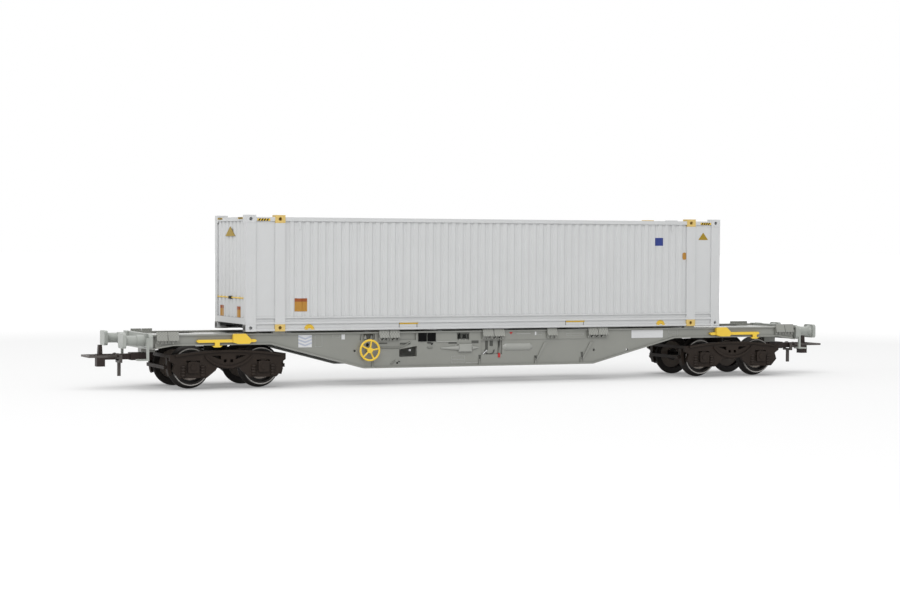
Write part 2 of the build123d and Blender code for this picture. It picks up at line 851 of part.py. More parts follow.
def frame_side():
    """Near side frame with its bands, lightening holes, springs, axleboxes and cups for the axle ends."""
    y0, y1 = -frame_inner_y - frame_plate, -frame_inner_y
    side = slab(frame_outline(), y0, y1)
    arch_x = frame_half_length - frame_end_land
    for band in (
        arc_band(arch_x, frame_end_top_z, frame_crown_z, frame_band),
        arc_band(chord_half_length, chord_end_z, chord_low_z, frame_band) & frame_outline(),
    ):
        side += slab(band, y0 - frame_band_proud, y0)
    for sign in (-1, 1):
        axle_x = sign * wheelbase / 2
        hole_x = sign * beam_hole_x
        half = beam_hole_size / 2
        low_z, high_z = beam_hole_z - half, beam_hole_z + half
        holes = block(hole_x - half, hole_x + half, y0 - overrun, y1 + overrun, low_z, high_z)
        corner = area([
            (sign * corner_hole_start_x, corner_hole_low_z),
            (sign * corner_hole_start_x, corner_hole_top_z),
            (sign * corner_hole_end_x, corner_hole_top_z),
        ])
        holes += slab(corner, y0 - overrun, y1 + overrun)
        for spread in (-1, 1):
            slot_x = axle_x + spread * guard_slot_spread
            wide, tall = guard_slot_width / 2, guard_slot_height / 2
            low_z, high_z = guard_slot_z - tall, guard_slot_z + tall
            holes += block(slot_x - wide, slot_x + wide, y0 - overrun, y1 + overrun, low_z, high_z)
        side -= holes
        for spread in (-1, 1):
            side += spring(axle_x + spread * spring_spread, y0 + spring_sunk)
        lid = Pos(axle_x, axle_z) * RectangleRounded(axlebox_size, axlebox_size, axlebox_corner_r)
        cap_y = y0 - axlebox_proud
        side += slab(lid, cap_y, y0)
        side += rod_y(axle_x, cap_y - axlebox_cap_proud, cap_y, axle_z, axlebox_cap_r)
        cup_y = -axle_tip_y - cup_gap + axle_cone
        cup = Rot(90, 0, 0) * Cone(axle_r + cup_gap, axle_tip_r + cup_gap, axle_cone)
        side -= Pos(axle_x, cup_y - axle_cone / 2, axle_z) * cup
        side -= rod_y(axle_x, y1 + overrun, cup_y, axle_z, axle_r + cup_gap)
    return side


def bogie_frame():
    """Both side frames with the transom, centre plate and end beams."""
    near = frame_side()
    frame = near + mirror(near, about=Plane.XZ)
    y = frame_inner_y
    frame += block(-transom_half_width, transom_half_width, -y, y, transom_bottom_z, transom_ledge_z)
    frame += rod_z(0, 0, transom_ledge_z, transom_top_z, centre_plate_r)
    for sign in (-1, 1):
        x0, x1 = sign * (frame_half_length - end_beam_depth), sign * frame_half_length
        frame += block(x0, x1, -y, y, end_beam_bottom_z, frame_end_top_z)
    return frame - rod_z(0, 0, transom_bottom_z - overrun, transom_top_z + overrun, pivot_pin_r + running_gap)


def brake_rigging(sign):
    """Shoes, hangers and beam outside the wheels at one end of a bogie."""
    inner_r = tread_r + shoe_gap
    outer_r = inner_r + shoe_thickness
    half = math.radians(shoe_half_angle)
    hanger_x = wheelbase / 2 + outer_r - hanger_seat
    reach_x, reach_z = 2 * outer_r * math.cos(half), 2 * outer_r * math.sin(half)
    beam_x = hanger_x + hanger_thickness - beam_seat
    beam_z = axle_z - brake_beam_height / 2
    rig = block(beam_x, beam_x + brake_beam_depth, -shoe_y, shoe_y, beam_z, beam_z + brake_beam_height)
    for side in (-1, 1):
        y0, y1 = side * shoe_y - shoe_width / 2, side * shoe_y + shoe_width / 2
        ring = rod_y(0, y0, y1, 0, outer_r) - rod_y(0, y0 - overrun, y1 + overrun, 0, inner_r)
        wedge = slab(area([(0, 0), (reach_x, -reach_z), (reach_x, reach_z)]), y0 - overrun, y1 + overrun)
        rig += Pos(wheelbase / 2, 0, axle_z) * (ring & wedge)
        rig += block(hanger_x, hanger_x + hanger_thickness, y0, y1, axle_z, end_beam_bottom_z)
    return rig if sign > 0 else mirror(rig, about=Plane.YZ)


def wheelset():
    """Two flanged wheels on an axle with pointed ends, as one turned shape on the Y axis."""
    web_front = (wheel_back_y + wheel_front_y + wheel_web) / 2
    web_back = web_front - wheel_web
    rim_r = tread_r - wheel_rim
    half = [
        (0, 0),
        (axle_r, 0),
        (axle_r, wheel_back_y),
        (hub_r, wheel_back_y),
        (hub_r, web_back),
        (rim_r, web_back),
        (rim_r, wheel_back_y),
        (flange_r - wheel_flange / 2, wheel_back_y),
        (flange_r, wheel_back_y + wheel_flange / 3),
        (flange_r, wheel_back_y + wheel_flange * 2 / 3),
        (tread_r + wheel_flange / 4, wheel_back_y + wheel_flange + wheel_flange / 3),
        (tread_r, wheel_back_y + wheel_flange * 2),
        (tread_r, wheel_front_y),
        (rim_r, wheel_front_y),
        (rim_r, web_front),
        (hub_r, web_front),
        (hub_r, wheel_front_y + hub_proud),
        (axle_r, wheel_front_y + hub_proud),
        (axle_r, axle_tip_y - axle_cone),
        (axle_tip_r, axle_tip_y),
        (0, axle_tip_y),
    ]
    face = make_face(Polyline([(r, y, 0) for r, y in half], close=True))
    far = revolve(face, axis=Axis.Y)
    return far + mirror(far, about=Plane.XZ)


# Couplings at end a
def coupling_pocket():
    """Pocket with a round nose on the coupling pin and a socket for the head."""
    x0, x1 = -pocket_end_x, -coupler_pivot_x
    half = pocket_half_width
    pocket = block(x0, x1, -half, half, coupler_bottom_z, coupler_top_z)
    pocket += rod_z(x1, 0, coupler_bottom_z, coupler_top_z, pocket_nose_r)
    half = socket_half_width
    pocket -= block(x0 - overrun, x0 + socket_depth, -half, half, socket_bottom_z, socket_top_z)
    bore_r = coupler_pin_r + running_gap
    return pocket - rod_z(x1, 0, coupler_bottom_z - overrun, coupler_top_z + overrun, bore_r)


def coupling_head():
    """Shank, head with its tapered horn, and the cross pin of the bow."""
    tail_x = -pocket_end_x + socket_depth
    half = socket_half_width
    shank = block(-hook_back_x, tail_x, -half, half, socket_bottom_z, socket_top_z)
    shank += block(-hook_front_x, -hook_back_x, -hook_half_width, hook_half_width, hook_bottom_z, hook_top_z)
    horn_x0, horn_x1 = -hook_front_x + horn_front_inset, -hook_back_x - horn_back_inset
    horn = area([
        (horn_x0, hook_top_z),
        (horn_x0 + horn_taper, horn_top_z),
        (horn_x1 - horn_taper, horn_top_z),
        (horn_x1, hook_top_z),
    ])
    shank += slab(horn, -horn_half_width, horn_half_width)
    ear_reach = bow_ear_y + bow_ear_thickness
    return shank + rod_y(-bow_pivot_x, -ear_reach, ear_reach, bow_pivot_z, bow_pin_r)


def coupling_bow():
    """Loop in front of the hook, its ears on the cross pin, and the dropper below."""
    z0, z1 = bow_pivot_z - bow_thickness / 2, bow_pivot_z + bow_thickness / 2
    ear0, ear1 = bow_ear_y, bow_ear_y + bow_ear_thickness
    arm_x = -hook_back_x
    drop_x0, drop_x1 = -dropper_x - dropper_width / 2, -dropper_x + dropper_width / 2
    yoke_z = dropper_yoke_z - bow_bar
    loop = block(-bow_front_x, -bow_front_x + bow_bar, -bow_half_width, bow_half_width, z0, z1)
    loop += block(drop_x0, drop_x1, -ear1, ear1, yoke_z, dropper_yoke_z)
    half = dropper_thickness / 2
    loop += block(drop_x0, drop_x1, -half, half, dropper_bottom_z, dropper_yoke_z)
    for side in (-1, 1):
        outer_y, inner_y = side * bow_half_width, side * (bow_half_width - bow_bar)
        loop += block(-bow_front_x, arm_x, outer_y, inner_y, z0, z1)
        arm = [(arm_x, outer_y), (arm_x, inner_y), (-bow_pivot_x, side * ear0), (-bow_pivot_x, side * ear1)]
        loop += plan(arm, z0, z1)
        loop += rod_y(-bow_pivot_x, side * ear0, side * ear1, bow_pivot_z, bow_ear_r)
        loop += block(-bow_pivot_x, drop_x1, side * ear0, side * ear1, z0, z1)
        loop += block(drop_x0, drop_x1, side * ear0, side * ear1, yoke_z, z1)
    return loop - rod_y(-bow_pivot_x, -ear1 - overrun, ear1 + overrun, bow_pivot_z, bow_pin_r + running_gap)


# Container
box_start_x = box_centre_x - box_length / 2
box_end_x = box_centre_x + box_length / 2
top_rail_top_z = box_top_z - top_rail_drop
top_rail_bottom_z = top_rail_top_z - top_rail_height


def casting_block(x0, x1, side, bottom, grow):
    """Corner casting's space on one side of the container."""
    y1 = side * (box_outer_y + casting_proud)
    y0 = side * (box_outer_y + casting_proud - casting_depth)
    if bottom:
        z0, z1 = box_bottom_z_level, box_bottom_z_level + casting_height_bottom
    else:
        z0, z1 = box_top_z - casting_height_top, box_top_z
    return block(x0 - grow, x1 + grow, y0, y1 + side * grow, z0 - grow, z1 + grow)


def post_spans():
    """Low and high x of the two corner posts and the two frame posts."""
    corner = (
        (box_start_x, box_start_x + corner_post_width),
        (box_end_x - corner_post_width, box_end_x),
    )
    half = frame_post_width / 2
    return corner, tuple((x - half, x + half) for x in seat_places)


def container_side():
    """Near wall: rails, plain end bays and the ribbed middle, with room for posts and castings."""
    corner, frame = post_spans()
    x0, x1 = corner[0][1], corner[1][0]
    wall_y = wall_inner_y + wall_plate
    base_z = box_bottom_z_level
    rail_top_z = base_z + bottom_rail_height
    wall = block(x0, x1, -wall_y, -wall_inner_y, base_z, top_rail_top_z)
    rail = block(x0, x1, -box_outer_y, -wall_y, base_z + rail_rise, rail_top_z)
    groove_y = -box_outer_y + rail_groove_depth
    for low_share, high_share in rail_groove_shares:
        low_z, high_z = base_z + low_share * bottom_rail_height, base_z + high_share * bottom_rail_height
        rail -= block(x0, x1, -box_outer_y - overrun, groove_y, low_z, high_z)
    wall += rail
    wall += block(x0, x1, -box_outer_y, -wall_y, top_rail_bottom_z, top_rail_top_z)
    for a, b in ((x0, frame[0][0]), (frame[1][1], x1)):
        wall += block(a, b, -bay_panel_y, -wall_y, rail_top_z, top_rail_bottom_z)
    start, end = frame[0][1], frame[1][0]
    ribs = rib_line(start, end, rib_pitch, -wall_y, -wall_y - rib_depth)
    wall += plan(ribs + [(end, -wall_inner_y), (start, -wall_inner_y)], rail_top_z, top_rail_bottom_z)
    for a, b in frame:
        wall -= block(a, b, -box_outer_y - overrun, -wall_y, base_z - overrun, top_rail_top_z + overrun)
        for bottom in (True, False):
            wall -= casting_block(a, b, -1, bottom, 0)
    return wall


def frame_posts():
    """Posts between the castings of the near frame."""
    _, frame = post_spans()
    wall_y = wall_inner_y + wall_plate
    z0 = box_bottom_z_level + casting_height_bottom
    z1 = box_top_z - casting_height_top
    return [block(a, b, -box_outer_y - frame_post_proud, -wall_y, z0, z1) for a, b in frame]


def corner_posts():
    corner, _ = post_spans()
    z0 = box_bottom_z_level + casting_height_bottom
    z1 = box_top_z - casting_height_top
    return [block(a, b, -box_outer_y, -box_outer_y + corner_post_depth, z0, z1) for a, b in corner]


def castings(spans):
    """Near castings on the posts, top and bottom, with their side holes and pin holes."""
    out = []
    face_y = -box_outer_y - casting_proud
    level = box_bottom_z_level
    for a, b in spans:
        x = (a + b) / 2
        for bottom in (True, False):
            piece = casting_block(a, b, -1, bottom, 0)
            z = level + casting_height_bottom / 2 if bottom else box_top_z - casting_height_top / 2
            piece -= rod_y(x, face_y - overrun, face_y + casting_depth / 2, z, casting_hole_r)
            if bottom:
                pin_y = -sill_outer_y + lock_pin_inset
                top_z = level + lock_pin_height + running_gap
                piece -= rod_z(x, pin_y, level - overrun, top_z, lock_pin_r + running_gap)
            out.append(piece)
    return out


def container_end(sign):
    """End wall between the corner posts, with sill and header: ribbed and on the floor at a, doors at b."""
    x_face = box_start_x if sign < 0 else box_end_x
    x_wall = x_face - sign * end_wall_inset
    x_back = x_wall - sign * end_wall_thickness
    half = box_outer_y - corner_post_depth
    floor_top_z = box_bottom_z_level + casting_height_bottom
    z0 = floor_top_z if sign < 0 else box_bottom_z_level + rail_rise
    sill_z = floor_top_z + end_sill_height
    z1 = top_rail_top_z
    wall = block(x_wall, x_back, -half, half, z0, z1)
    for low, high in ((z0, sill_z), (top_rail_bottom_z, z1)):
        wall += block(x_face, x_back, -half, half, low, high)
    if sign < 0:
        line = rib_line(-half, half, end_rib_pitch, x_wall, x_wall + sign * rib_depth)
        wall += plan([(x, y) for y, x in line] + [(x_back, half), (x_back, -half)], sill_z, top_rail_bottom_z)
    else:
        wall -= door_recesses(x_wall, half, sill_z, top_rail_bottom_z)
    for side in (-1, 1):
        for bottom in (True, False):
            a, b = sorted((x_face, x_face - sign * corner_post_width))
            wall -= casting_block(a, b, side, bottom, 0)
    return wall


def door_recesses(x_wall, half, z0, z1):
    """Gap between the two door leaves and the sunk panels of each, at end b."""
    x0 = x_wall - door_panel_depth
    x1 = x_wall + overrun
    cuts = block(x0, x1, -door_gap / 2, door_gap / 2, z0, z1)
    height = (z1 - z0 - door_margin) / door_panels
    for side in (-1, 1):
        y0, y1 = side * (door_gap / 2 + door_margin), side * (half - door_margin)
        for i in range(door_panels):
            low = z0 + door_margin + i * height
            cuts += block(x0, x1, y0, y1, low, low + height - door_margin)
    return cuts


def container_roof():
    """Roof sheet with cross ribs between the walls."""
    x0 = box_start_x + end_wall_inset + end_wall_thickness
    x1 = box_end_x - end_wall_inset - end_wall_thickness
    crest_z = top_rail_top_z - roof_drop
    base_z = crest_z - roof_rib_depth
    line = rib_line(x0, x1, roof_rib_pitch, base_z, crest_z)
    under = [(x1, base_z - roof_thickness), (x0, base_z - roof_thickness)]
    return trim_by_posts(slab(area(line + under), -wall_inner_y, wall_inner_y))


def container_floor():
    """Floor level with the lower castings' tops, under the wall at end a, with the gooseneck tunnel below."""
    x0 = box_start_x + end_floor_inset
    x1 = box_end_x - end_wall_inset - end_wall_thickness
    top_z = box_bottom_z_level + casting_height_bottom
    z0 = top_z - floor_thickness
    half = tunnel_half_width
    floor = block(x0, x1, -wall_inner_y, wall_inner_y, z0, top_z)
    floor -= block(x0 - overrun, x0 + tunnel_length, -half, half, z0 - overrun, z0 + tunnel_depth)
    return trim_by_posts(floor)


def trim_by_posts(piece):
    """Clears the room that castings and corner posts take."""
    corner, frame = post_spans()
    for side in (-1, 1):
        for a, b in corner + frame:
            for bottom in (True, False):
                piece -= casting_block(a, b, side, bottom, 0)
        for a, b in corner:
            y0 = side * (box_outer_y - corner_post_depth)
            piece -= block(a, b, y0, side * box_outer_y, box_bottom_z_level, box_top_z)
    return piece


def door_bars():
    """Lock rods with cams and handles on the doors at end b."""
    half = box_outer_y - corner_post_depth
    x_wall = box_end_x - end_wall_inset
    x = x_wall + door_bar_r
    z0 = box_bottom_z_level + bottom_rail_height
    cam = door_bar_cam_width / 2
    out = []
    for share in door_bar_shares:
        y = share * half
        bar = rod_z(x, y, z0, top_rail_bottom_z, door_bar_r)
        for low in (z0, top_rail_bottom_z - door_bar_cam_height):
            bar += block(x_wall, x, y - cam, y + cam, low, low + door_bar_cam_height)
        inward = -math.copysign(door_handle_length, share)
        bar += block(x_wall, x, y, y + inward, door_handle_z, door_handle_z + door_handle_height)
        out.append(bar)
    return out


def both_sides(pieces):
    return Compound(children=pieces + [far_side(p) for p in pieces])


def main():
    os.makedirs("parts", exist_ok=True)
    near_sill = side_sill()
    write("side_sill_near", near_sill)
    write("side_sill_far", far_side(near_sill))
    write("cross_bearers", Compound(children=cross_bearers()))
    for name, sign in ends:
        place = other_end if sign > 0 else lambda shape: shape
        write(f"end_frame_{name}", place(end_frame()))
        write(f"headstock_{name}", place(headstock()))
        write(f"buffers_{name}", both_sides([place(buffer(-buffer_y))]))
        write(f"corner_steps_{name}", both_sides([place(corner_step())]))
        write(f"coupling_pocket_{name}", place(coupling_pocket()))
        write(f"coupling_head_{name}", place(coupling_head()))
        write(f"coupling_bow_{name}", place(coupling_bow()))
        centre = Pos(sign * pivot_x, 0, 0)
        write(f"bogie_frame_{name}", centre * bogie_frame())
        rigs = [centre * brake_rigging(1), centre * brake_rigging(-1)]
        write(f"brake_rigging_{name}", Compound(children=rigs))
        for slot, outward in slots:
            x = sign * (pivot_x + outward * wheelbase / 2)
            write(f"wheelset_{name}_{slot}", Pos(x, 0, axle_z) * wheelset())
        write(f"container_end_{name}", container_end(sign))
    for name, sign in sides:
        place = far_side if sign > 0 else lambda shape: shape
        write(f"folding_seats_{name}", Compound(children=[place(p) for p in folding_seats()]))
        levers = [place(side_lever(*shares)) for shares in lever_shares]
        write(f"side_levers_{name}", Compound(children=levers))
        write(f"brake_gear_{name}", Compound(children=[place(p) for p in brake_gear()]))
        write(f"container_side_{name}", place(container_side()))
    write("pivot_pins", Compound(children=[pivot_pin(), other_end(pivot_pin())]))
    write("container_seats", both_sides(container_seats()))
    write("handwheels", both_sides([handwheel()]))
    write("black_plates", both_sides(black_plates()))
    corner, frame = post_spans()
    write("corner_posts", both_sides(corner_posts()))
    write("frame_posts", both_sides(frame_posts()))
    write("corner_castings", both_sides(castings(corner)))
    write("frame_castings", both_sides(castings(frame)))
    write("container_roof", container_roof())
    write("container_floor", container_floor())
    write("door_bars", Compound(children=door_bars()))


main()
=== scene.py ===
import json
import math

import bmesh
import bpy
from mathutils import Matrix, Vector
from mathutils.bvhtree import BVHTree


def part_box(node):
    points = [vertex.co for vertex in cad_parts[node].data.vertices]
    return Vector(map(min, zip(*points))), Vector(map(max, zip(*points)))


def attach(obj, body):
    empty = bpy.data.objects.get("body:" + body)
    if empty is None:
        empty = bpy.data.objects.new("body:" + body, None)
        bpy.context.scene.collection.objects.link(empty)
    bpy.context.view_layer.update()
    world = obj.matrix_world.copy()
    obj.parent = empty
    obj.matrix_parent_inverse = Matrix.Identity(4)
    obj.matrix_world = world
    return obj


# Scale model container flatcar with its container: finishes, markings and fine trim on the CAD frame.
# Metres. +X runs along the car towards end b, -Y is the near side, +Z is up.

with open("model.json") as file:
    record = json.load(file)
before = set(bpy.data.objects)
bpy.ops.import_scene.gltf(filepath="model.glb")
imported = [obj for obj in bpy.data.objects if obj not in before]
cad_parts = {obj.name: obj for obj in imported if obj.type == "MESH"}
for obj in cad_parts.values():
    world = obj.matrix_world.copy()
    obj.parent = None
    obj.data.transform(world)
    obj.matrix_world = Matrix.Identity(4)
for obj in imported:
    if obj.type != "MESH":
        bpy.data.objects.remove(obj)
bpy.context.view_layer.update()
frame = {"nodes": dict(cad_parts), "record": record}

# Camera of the photograph: place, focal length on a 36 mm sensor, heading, tilt and roll in degrees
camera_place = (-0.26230, -0.573355, 0.040773)
camera_lens = 83.014
camera_heading = -23.83
camera_tilt = 1.504
camera_roll = 0.268
sensor_width = 36.0
clip_range = (0.01, 20.0)

# Floor: half width, glow near the object and far off, distances between which it changes, grey level,
# and the share of that level that the camera sees
floor_reach = 8.0
floor_glow = 0.42
floor_far_glow = 1.0
floor_fade = (0.30, 0.90)
floor_colour = 0.80
floor_seen_share = 0.64

# Contact shadow of the floor: its reach, the openness between which it fades, and its depth
contact_reach = 0.012
contact_open = (0.40, 0.97)
contact_depth = 0.45
contact_samples = 16

# Strength of the surround as a light
surround_level = 0.50

# Panel lamps: name, place, aim, size and power
lamps = (
    ("key", (-0.45, -0.75, 0.75), (0, 0, 0.02), 0.6, 3.6),
    ("top", (0.0, -0.05, 0.9), (0, 0, 0.0), 2.4, 9.6),
    ("left", (-0.9, 0.0, 0.35), (-0.05, 0, 0.03), 0.5, 0.9),
)

# Markings: distances from which they are laid on side and end faces, thickness of a film,
# pitch of its grid, and how far in its first and last columns lie, as a share of its width
side_reach = 0.0150
end_reach = 0.0790
film = 0.00004
over_film = 2 * film
film_step = 0.00015
film_share = 0.002

# Smoothness: steps between two given points of a curve, corners of a rod and a circle, steps of a
# lifting mark and of a round corner
path_steps = 6
rod_corners = 10
disc_corners = 16
mark_steps = 20
round_steps = 4

# Paint: noise range, scale ratio of the broad mottle to the fine grain, detail of both, openness range
# of the painted corner shade, half the range of the roughness, samples of corners and edges, relief of
# the grain
noise_range = (0.3, 0.7)
mottle_ratio = 8
mottle_detail = 4.0
grain_detail = 6.0
grain_rough = 0.6
corner_range = (0.2, 0.95)
rough_spread = 0.08
corner_samples = 8
edge_samples = 4
grain_strength = 0.4

# Sockets of a colour mix: the two colours and the result
mix_first, mix_second, mix_result = 6, 7, 2

# Rings on a wheel, low and high radius, low and high |y|, colour: bare turned rim; outer web, paler as
# painted light from the floor; inner web, paler as painted light on the back faces
rim_and_painted_light_rings = (
    (0.00497, 0.00526, 0.0098, 0.0110, (0.60, 0.58, 0.55)),
    (0.00230, 0.00375, 0.0088, 0.0098, (0.50, 0.44, 0.39)),
    (0.00000, 0.00420, 0.0076, 0.0086, (0.240, 0.200, 0.170)),
)

# What differs on the container's end walls: deeper and wider painted shade in the grooves between the
# ribs
end_wall_looks = {"corner_shade": 0.7, "reach": 0.0012}

# Paler casting of the brake gear
gear_colour = (0.320, 0.325, 0.300)

# Painted light and shade of the folding seats' tread plates: pitch of the checks, then the colour scale
# of the shaded and the lit checks
tread_pitch = 0.00042
tread_light_and_shade = (0.78, 1.18)

sides = (("near", -1), ("far", 1))

# Finish of each slot of the record: linear colour, then what differs from plain paint
slot_finishes = {
    "frame_grey": ((0.250, 0.254, 0.228), {"rough": 0.5, "coat": 0.9}),
    "buffer_grey": ((0.370, 0.388, 0.360), {"rough": 0.45, "coat": 0.3}),
    "dark_steel": ((0.040, 0.040, 0.043), {"rough": 0.45, "gloss": 0.3}),
    "signal_yellow": ((0.880, 0.600, 0.062), {"rough": 0.4, "corner_shade": 0.35}),
    "black_paint": ((0.004, 0.004, 0.004), {"rough": 0.6, "gloss": 0.08}),
    "bogie_black": ((0.024, 0.017, 0.013), {"rough": 0.55, "spread": 0.12, "corner_shade": 0.6, "gloss": 0.18}),
    "wheel_steel": ((0.018, 0.015, 0.013), {"rough": 0.45, "gloss": 0.25, "corner_shade": 0.3}),
    "coupling_black": ((0.034, 0.024, 0.022), {"rough": 0.5, "spread": 0.1, "gloss": 0.25}),
    "coupling_steel": ((0.100, 0.088, 0.082), {"rough": 0.45, "gloss": 0.3}),
    "container_white": ((0.620, 0.628, 0.630),
                        {"rough": 0.5, "spread": 0.015, "corner_shade": 0.10, "reach": 0.0006}),
    # Near-black: the container floor's dark underside, darkened further as painted shade of the gap
    # above the sill
    "container_dark": ((0.012, 0.012, 0.012), {"rough": 0.7, "gloss": 0.1}),
    "casting_yellow": ((0.700, 0.500, 0.160), {"rough": 0.5, "corner_shade": 0.3}),
}

# Finish of each marking and fitting
marking_finishes = {
    "mark_yellow": ((0.760, 0.500, 0.045), {}),
    "mark_black": ((0.006, 0.006, 0.006), {"gloss": 0.15}),
    "label_amber": ((0.450, 0.225, 0.035), {}),
    "label_brown": ((0.300, 0.075, 0.018), {}),
    "sign_blue": ((0.020, 0.040, 0.220), {}),
    "plate_white": ((0.700, 0.705, 0.715), {}),
    "line_pale": ((0.380, 0.385, 0.365), {}),
    "chevron_grey": ((0.470, 0.500, 0.590), {}),
    "tag_red": ((0.480, 0.030, 0.030), {}),
    "shade_grey": ((0.020, 0.021, 0.019), {"gloss": 0.1, "rough": 0.7}),
    "fitting_grey": ((0.220, 0.224, 0.200), {"rough": 0.45}),
    "hose_black": ((0.028, 0.028, 0.028), {"gloss": 0.2}),
    "hose_grey": ((0.080, 0.080, 0.075), {"gloss": 0.2}),
    # Painted shade over recesses and slots of the near sill
    "recess_shade_grey": ((0.100, 0.102, 0.093), {"gloss": 0.15, "rough": 0.6}),
    # Painted shade on the end faces of the bottom corner castings
    "casting_shade_grey": ((0.200, 0.200, 0.200), {"gloss": 0.2, "corner_shade": 0.5}),
    "plate_amber": ((0.370, 0.250, 0.035), {"gloss": 0.1}),
}


# Finishes
def node(tree, kind, **values):
    """One shader node with its properties or input values set by name."""
    made = tree.nodes.new(kind)
    for name, value in values.items():
        if name in made.inputs:
            made.inputs[name].default_value = value
        else:
            setattr(made, name, value)
    return made


def spread_out(tree, value, low_in, high_in, low_out, high_out):
    """Maps a socket's range to another and returns the new socket."""
    ramp = node(tree, "ShaderNodeMapRange")
    levels = {"From Min": low_in, "From Max": high_in, "To Min": low_out, "To Max": high_out}
    for name, level in levels.items():
        ramp.inputs[name].default_value = level
    tree.links.new(value, ramp.inputs["Value"])
    return ramp.outputs["Result"]


def paint(name, colour, rough=0.42, spread=0.04, grain=900.0, relief=0.00001, corner_shade=0.3, reach=0.0009,
          gloss=0.4, edge=0.00008, coat=0.0, coat_rough=0.22):
    """Moulded or painted finish: mottled colour, fine grain, soft edges and painted shade that darkens
    corners.
    """
    material = bpy.data.materials.new(name)
    material.use_nodes = True
    tree = material.node_tree
    link = tree.links.new
    shader = tree.nodes["Principled BSDF"]
    place = node(tree, "ShaderNodeTexCoord")
    broad = node(tree, "ShaderNodeTexNoise", Scale=grain / mottle_ratio, Detail=mottle_detail)
    fine = node(tree, "ShaderNodeTexNoise", Scale=grain, Detail=grain_detail, Roughness=grain_rough)
    link(place.outputs["Object"], broad.inputs["Vector"])
    link(place.outputs["Object"], fine.inputs["Vector"])
    shade = node(tree, "ShaderNodeVectorMath", operation="SCALE")
    shade.inputs[0].default_value = colour
    mottle = spread_out(tree, broad.outputs["Fac"], *noise_range, 1 - spread, 1 + spread)
    link(mottle, shade.inputs["Scale"])
    # Painted shade: the colour darkens in corners and crevices that ambient occlusion finds within reach
    corner = node(tree, "ShaderNodeAmbientOcclusion", Distance=reach, samples=corner_samples)
    shaded_colour = node(tree, "ShaderNodeVectorMath", operation="SCALE")
    link(shade.outputs["Vector"], shaded_colour.inputs[0])
    link(spread_out(tree, corner.outputs["AO"], *corner_range, 1 - corner_shade, 1), shaded_colour.inputs["Scale"])
    link(shaded_colour.outputs["Vector"], shader.inputs["Base Color"])
    roughness = spread_out(tree, fine.outputs["Fac"], 0, 1, rough - rough_spread, rough + rough_spread)
    link(roughness, shader.inputs["Roughness"])
    soft = node(tree, "ShaderNodeBevel", samples=edge_samples, Radius=edge)
    bump = node(tree, "ShaderNodeBump", Strength=grain_strength, Distance=relief)
    link(fine.outputs["Fac"], bump.inputs["Height"])
    link(soft.outputs["Normal"], bump.inputs["Normal"])
    link(bump.outputs["Normal"], shader.inputs["Normal"])
    shader.inputs["Specular IOR Level"].default_value = gloss
    shader.inputs["Coat Weight"].default_value = coat
    shader.inputs["Coat Roughness"].default_value = coat_rough
    return material


def tread_paint(name, colour, looks):
    """Painted plate with a fine chequered tread, whose light and shade are painted as darker and lighter
    checks.
    """
    material = paint(name, colour, **looks)
    tree = material.node_tree
    link = tree.links.new
    shader = tree.nodes["Principled BSDF"]
    place = node(tree, "ShaderNodeTexCoord")
    checks = node(tree, "ShaderNodeTexChecker", Scale=1 / tread_pitch)
    link(place.outputs["Object"], checks.inputs["Vector"])
    shade = node(tree, "ShaderNodeVectorMath", operation="SCALE")
    link(shader.inputs["Base Color"].links[0].from_socket, shade.inputs[0])
    link(spread_out(tree, checks.outputs["Fac"], 0, 1, *tread_light_and_shade), shade.inputs["Scale"])
    link(shade.outputs["Vector"], shader.inputs["Base Color"])
    return material


def product(tree, first, second):
    """Multiplies two sockets and returns the new one."""
    both = node(tree, "ShaderNodeMath", operation="MULTIPLY")
    tree.links.new(first, both.inputs[0])
    tree.links.new(second, both.inputs[1])
    return both.outputs["Value"]


def all_of(tree, tests):
    """One where every (operation, socket, level) test holds, else zero."""
    passed = None
    for operation, value, level in tests:
        test = node(tree, "ShaderNodeMath", operation=operation)
        tree.links.new(value, test.inputs[0])
        test.inputs[1].default_value = level
        met = test.outputs["Value"]
        passed = met if passed is None else product(tree, passed, met)
    return passed


def wheel_paint(name, centre_x, centre_z):
    """Blackened wheels with a bare turned rim about the axle on their faces, and paler web rings of
    painted light.
    """
    colour, looks = slot_finishes["wheel_steel"]
    material = paint(name, colour, **looks)
    tree = material.node_tree
    link = tree.links.new
    shader = tree.nodes["Principled BSDF"]
    place = node(tree, "ShaderNodeTexCoord")
    split = node(tree, "ShaderNodeSeparateXYZ")
    link(place.outputs["Object"], split.inputs["Vector"])
    flat = node(tree, "ShaderNodeCombineXYZ")
    link(split.outputs["X"], flat.inputs["X"])
    link(split.outputs["Z"], flat.inputs["Z"])
    radius = node(tree, "ShaderNodeVectorMath", operation="DISTANCE")
    link(flat.outputs["Vector"], radius.inputs[0])
    radius.inputs[1].default_value = (centre_x, 0, centre_z)
    outward = node(tree, "ShaderNodeMath", operation="ABSOLUTE")
    link(split.outputs["Y"], outward.inputs[0])
    for low_r, high_r, low_y, high_y, ring_colour in rim_and_painted_light_rings:
        tests = (("GREATER_THAN", radius.outputs["Value"], low_r),
                 ("LESS_THAN", radius.outputs["Value"], high_r),
                 ("GREATER_THAN", outward.outputs["Value"], low_y),
                 ("LESS_THAN", outward.outputs["Value"], high_y))
        mix = node(tree, "ShaderNodeMix", data_type="RGBA")
        link(all_of(tree, tests), mix.inputs["Factor"])
        link(shader.inputs["Base Color"].links[0].from_socket, mix.inputs[mix_first])
        mix.inputs[mix_second].default_value = (*ring_colour, 1)
        link(mix.outputs[mix_result], shader.inputs["Base Color"])
    return material


